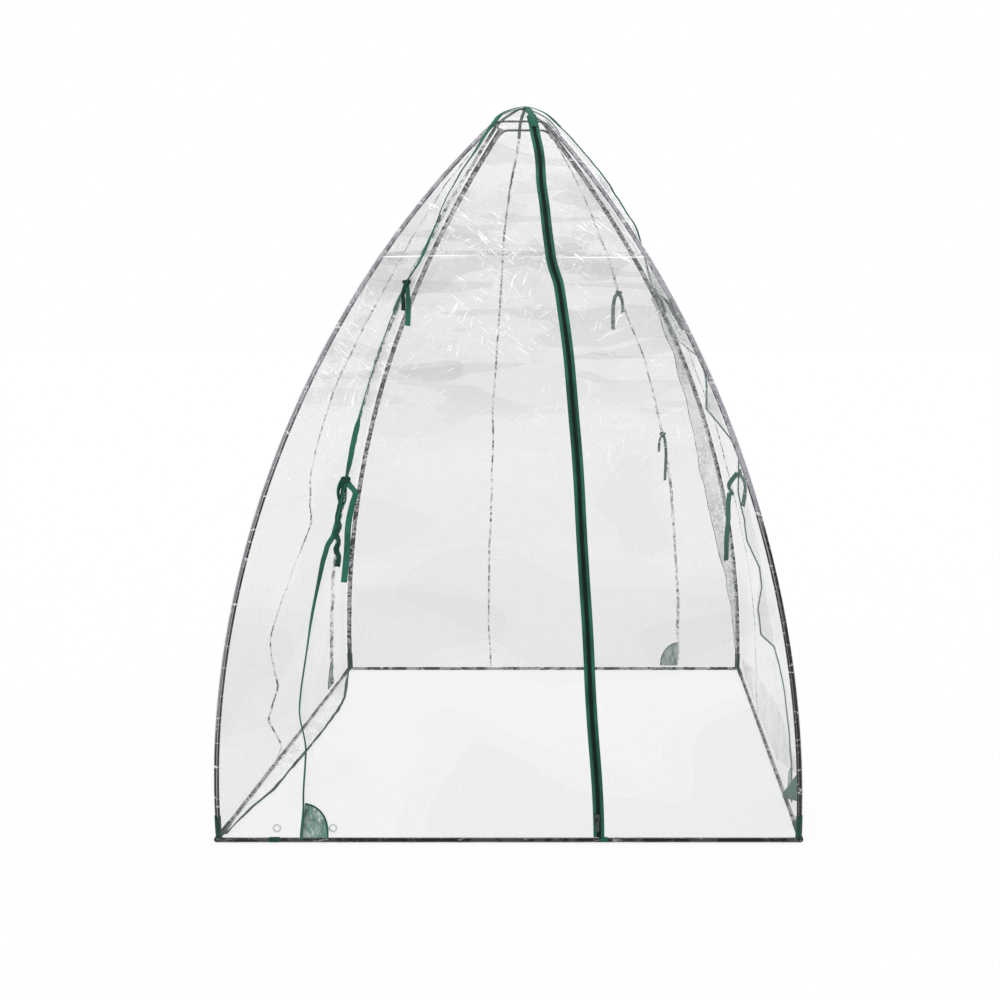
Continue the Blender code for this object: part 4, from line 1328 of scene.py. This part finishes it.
def loose_piece(name, parts, materials):
    """A piece with no CAD solid, and the area of its film without its edge tape."""
    area = mesh_area(parts[0])
    for part, material in zip(parts, materials):
        part.data.materials.append(material)
    piece = join(name, parts) if len(parts) > 1 else parts[0]
    piece.name = piece.data.name = name
    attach(piece, "frame_and_cover")
    return piece, area


# Gathered sleeve film that hangs inside the back right rib.
CURTAIN = (
    (0.03, 0.006), (0.20, 0.016), (0.33, 0.030), (0.45, 0.048), (0.58, 0.058), (0.72, 0.060), (0.86, 0.050),
    (1.00, 0.036), (1.15, 0.024), (1.30, 0.010),
)
rows = []
for i in range(161):
    z = lerp(0.03, 1.30, i / 160)
    r = reach(z) - 0.012
    wide = curve_through(CURTAIN, z) * (1 + 0.10 * noise.noise(Vector((z * 17, 1, 1))))
    row = []
    for c in range(15):
        a = c / 14
        fold = 0.007 * a * math.sin(a * 11 + z * 9) + 0.006 * a * noise.noise(Vector((a * 5, z * 24, 6)))
        dip = 0.006 * noise.noise(Vector((a * 2, z * 12, 3))) * a
        row.append(Vector((r - wide * a + dip, r - 0.004 + fold - 0.010 * a, z + 0.004 * fold)))
    rows.append(row)
curtain_film = grid("curtain", rows)
edge_path = [row[-1] for row in rows]
edge_sides = [Vector((1, 0.3 * math.sin(i * 0.3), 0)).normalized() for i in range(len(rows))]
edge_wide = [
    0.0012 + 0.0020 * max(noise.noise(Vector((i * 0.35, 2, 2))) + 0.25, 0.0) for i in range(len(rows))
]
curtain_edge = ribbon("edge", edge_path, edge_sides, edge_wide, 0.0010, columns=2)
curtain, area = loose_piece(
    "sleeve_film_back_right", [curtain_film, curtain_edge], [CRUMPLED, SHADED_TAPE]
)

# A second layer of film folded up over the right base rod, running out to a point near the front.
# Its line began as points read off the photo, like the seam tables, and was then rounded.
FOLD_LINE = (
    (-0.68, 0.0135, 0.050), (-0.45, 0.0135, 0.095), (-0.20, 0.0135, 0.135), (0.05, 0.0135, 0.160),
    (0.20, 0.0150, 0.172), (0.38, 0.0650, 0.168), (0.52, 0.1050, 0.155), (0.63, 0.1350, 0.142),
)
lows = tuple((-y, low) for y, low, high in reversed(FOLD_LINE))
highs = tuple((-y, high) for y, low, high in reversed(FOLD_LINE))
rows = []
for i in range(121):
    y = lerp(-0.63, 0.68, i / 120)
    low, high = straight_through(lows, y), straight_through(highs, y)
    row = []
    for c in range(11):
        z = lerp(low, high, c / 10)
        fold = 0.0030 * noise.noise(Vector((y * 16, z * 30, 4)))
        fold += 0.0022 * noise.noise(Vector((y * 50, z * 60, 8)))
        row.append(film(3 + y / reach(z), z, 0.0065 + fold)[0])
    rows.append(row)
fold_film = grid("fold", rows)
fold_piece, area = loose_piece("folded_hem_right", [fold_film], [SKIRT])

# The left hem has slipped off its rod: it lies on the ground inside, with a green edge.
# Its line began as points read off the photo, like the seam tables, and was then rounded.
LEFT_EDGE = (
    (-0.660, 0.004), (-0.60, 0.010), (-0.50, 0.020), (-0.395, 0.041), (-0.27, 0.047), (-0.17, 0.051),
    (-0.07, 0.055), (0.08, 0.060), (0.25, 0.061), (0.36, 0.054), (0.46, 0.036), (0.56, 0.016), (0.64, 0.003),
)
rows = []
for i in range(141):
    y = lerp(-0.660, 0.64, i / 140)
    wide = straight_through(LEFT_EDGE, y)
    row = []
    for c in range(9):
        a = c / 8
        lift = 0.010 * (1 - a) + 0.0026 + 0.004 * a * abs(noise.noise(Vector((y * 13, a * 2, 5))))
        row.append(Vector((-0.6880 + wide * a, y, lift)))
    rows.append(row)
hem_film = grid("hem", rows)
edge_path = [row[-1] + Vector((0, 0, 0.0030)) for row in rows]
edge_sides = []
for i, point in enumerate(edge_path):
    tilt = 0.9 * noise.noise(Vector((point.y * 9, 3, 7)))
    edge_sides.append(Vector((math.cos(tilt), 0, math.sin(tilt))))
edge_wide = [0.0085 + 0.0040 * noise.noise(Vector((p.y * 7, 1, 9))) for p in edge_path]
hem_edge = ribbon("edge", edge_path, edge_sides, edge_wide, 0.0012, columns=3)
left_hem, area = loose_piece("loose_hem_left", [hem_film, hem_edge], [SKIRT, HEM_EDGE])

# A green gusset from the right base rod up to the front rib.
path = [Vector((0.6850 + 0.003 * i / 20, lerp(-0.452, -0.684, i / 20), lerp(0.014, 0.134, i / 20)))
        for i in range(21)]
sides = [Vector((0, 0.49, 0.87))] * 21
wide = [lerp(0.010, 0.068, i / 20) for i in range(21)]
gusset = ribbon("corner_gusset_right", path, sides, wide, 0.0012, curl=lambda i, run: 0.25)
finish_piece(gusset, TAPE, "frame_and_cover")

# The eyelet beside the seam, copied with a clear finish.
ring = bpy.data.objects.new("eyelet_right_detail", nodes["eyelet_right"].data.copy())
bpy.context.scene.collection.objects.link(ring)
for slot in ring.material_slots:
    slot.material = RING
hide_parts("eyelet_right")
ride_door(ring)

# ---------------------------------------------------------------- finishes of the parts kept as they are

for name, node in nodes.items():
    material = None
    if name.startswith("hoop"):
        material = ROD
    elif name.startswith("splice"):
        material = STEEL
    elif name.startswith("eyelet"):
        material = RING
    elif name in ("zip_slider", "zip_pull"):
        material = SLIDER
    elif name.startswith("peg"):
        material = SHADED_TAPE
    elif name.startswith("zip_anchor"):
        material = TAPE
    if material:
        for slot in node.material_slots:
            slot.material = material
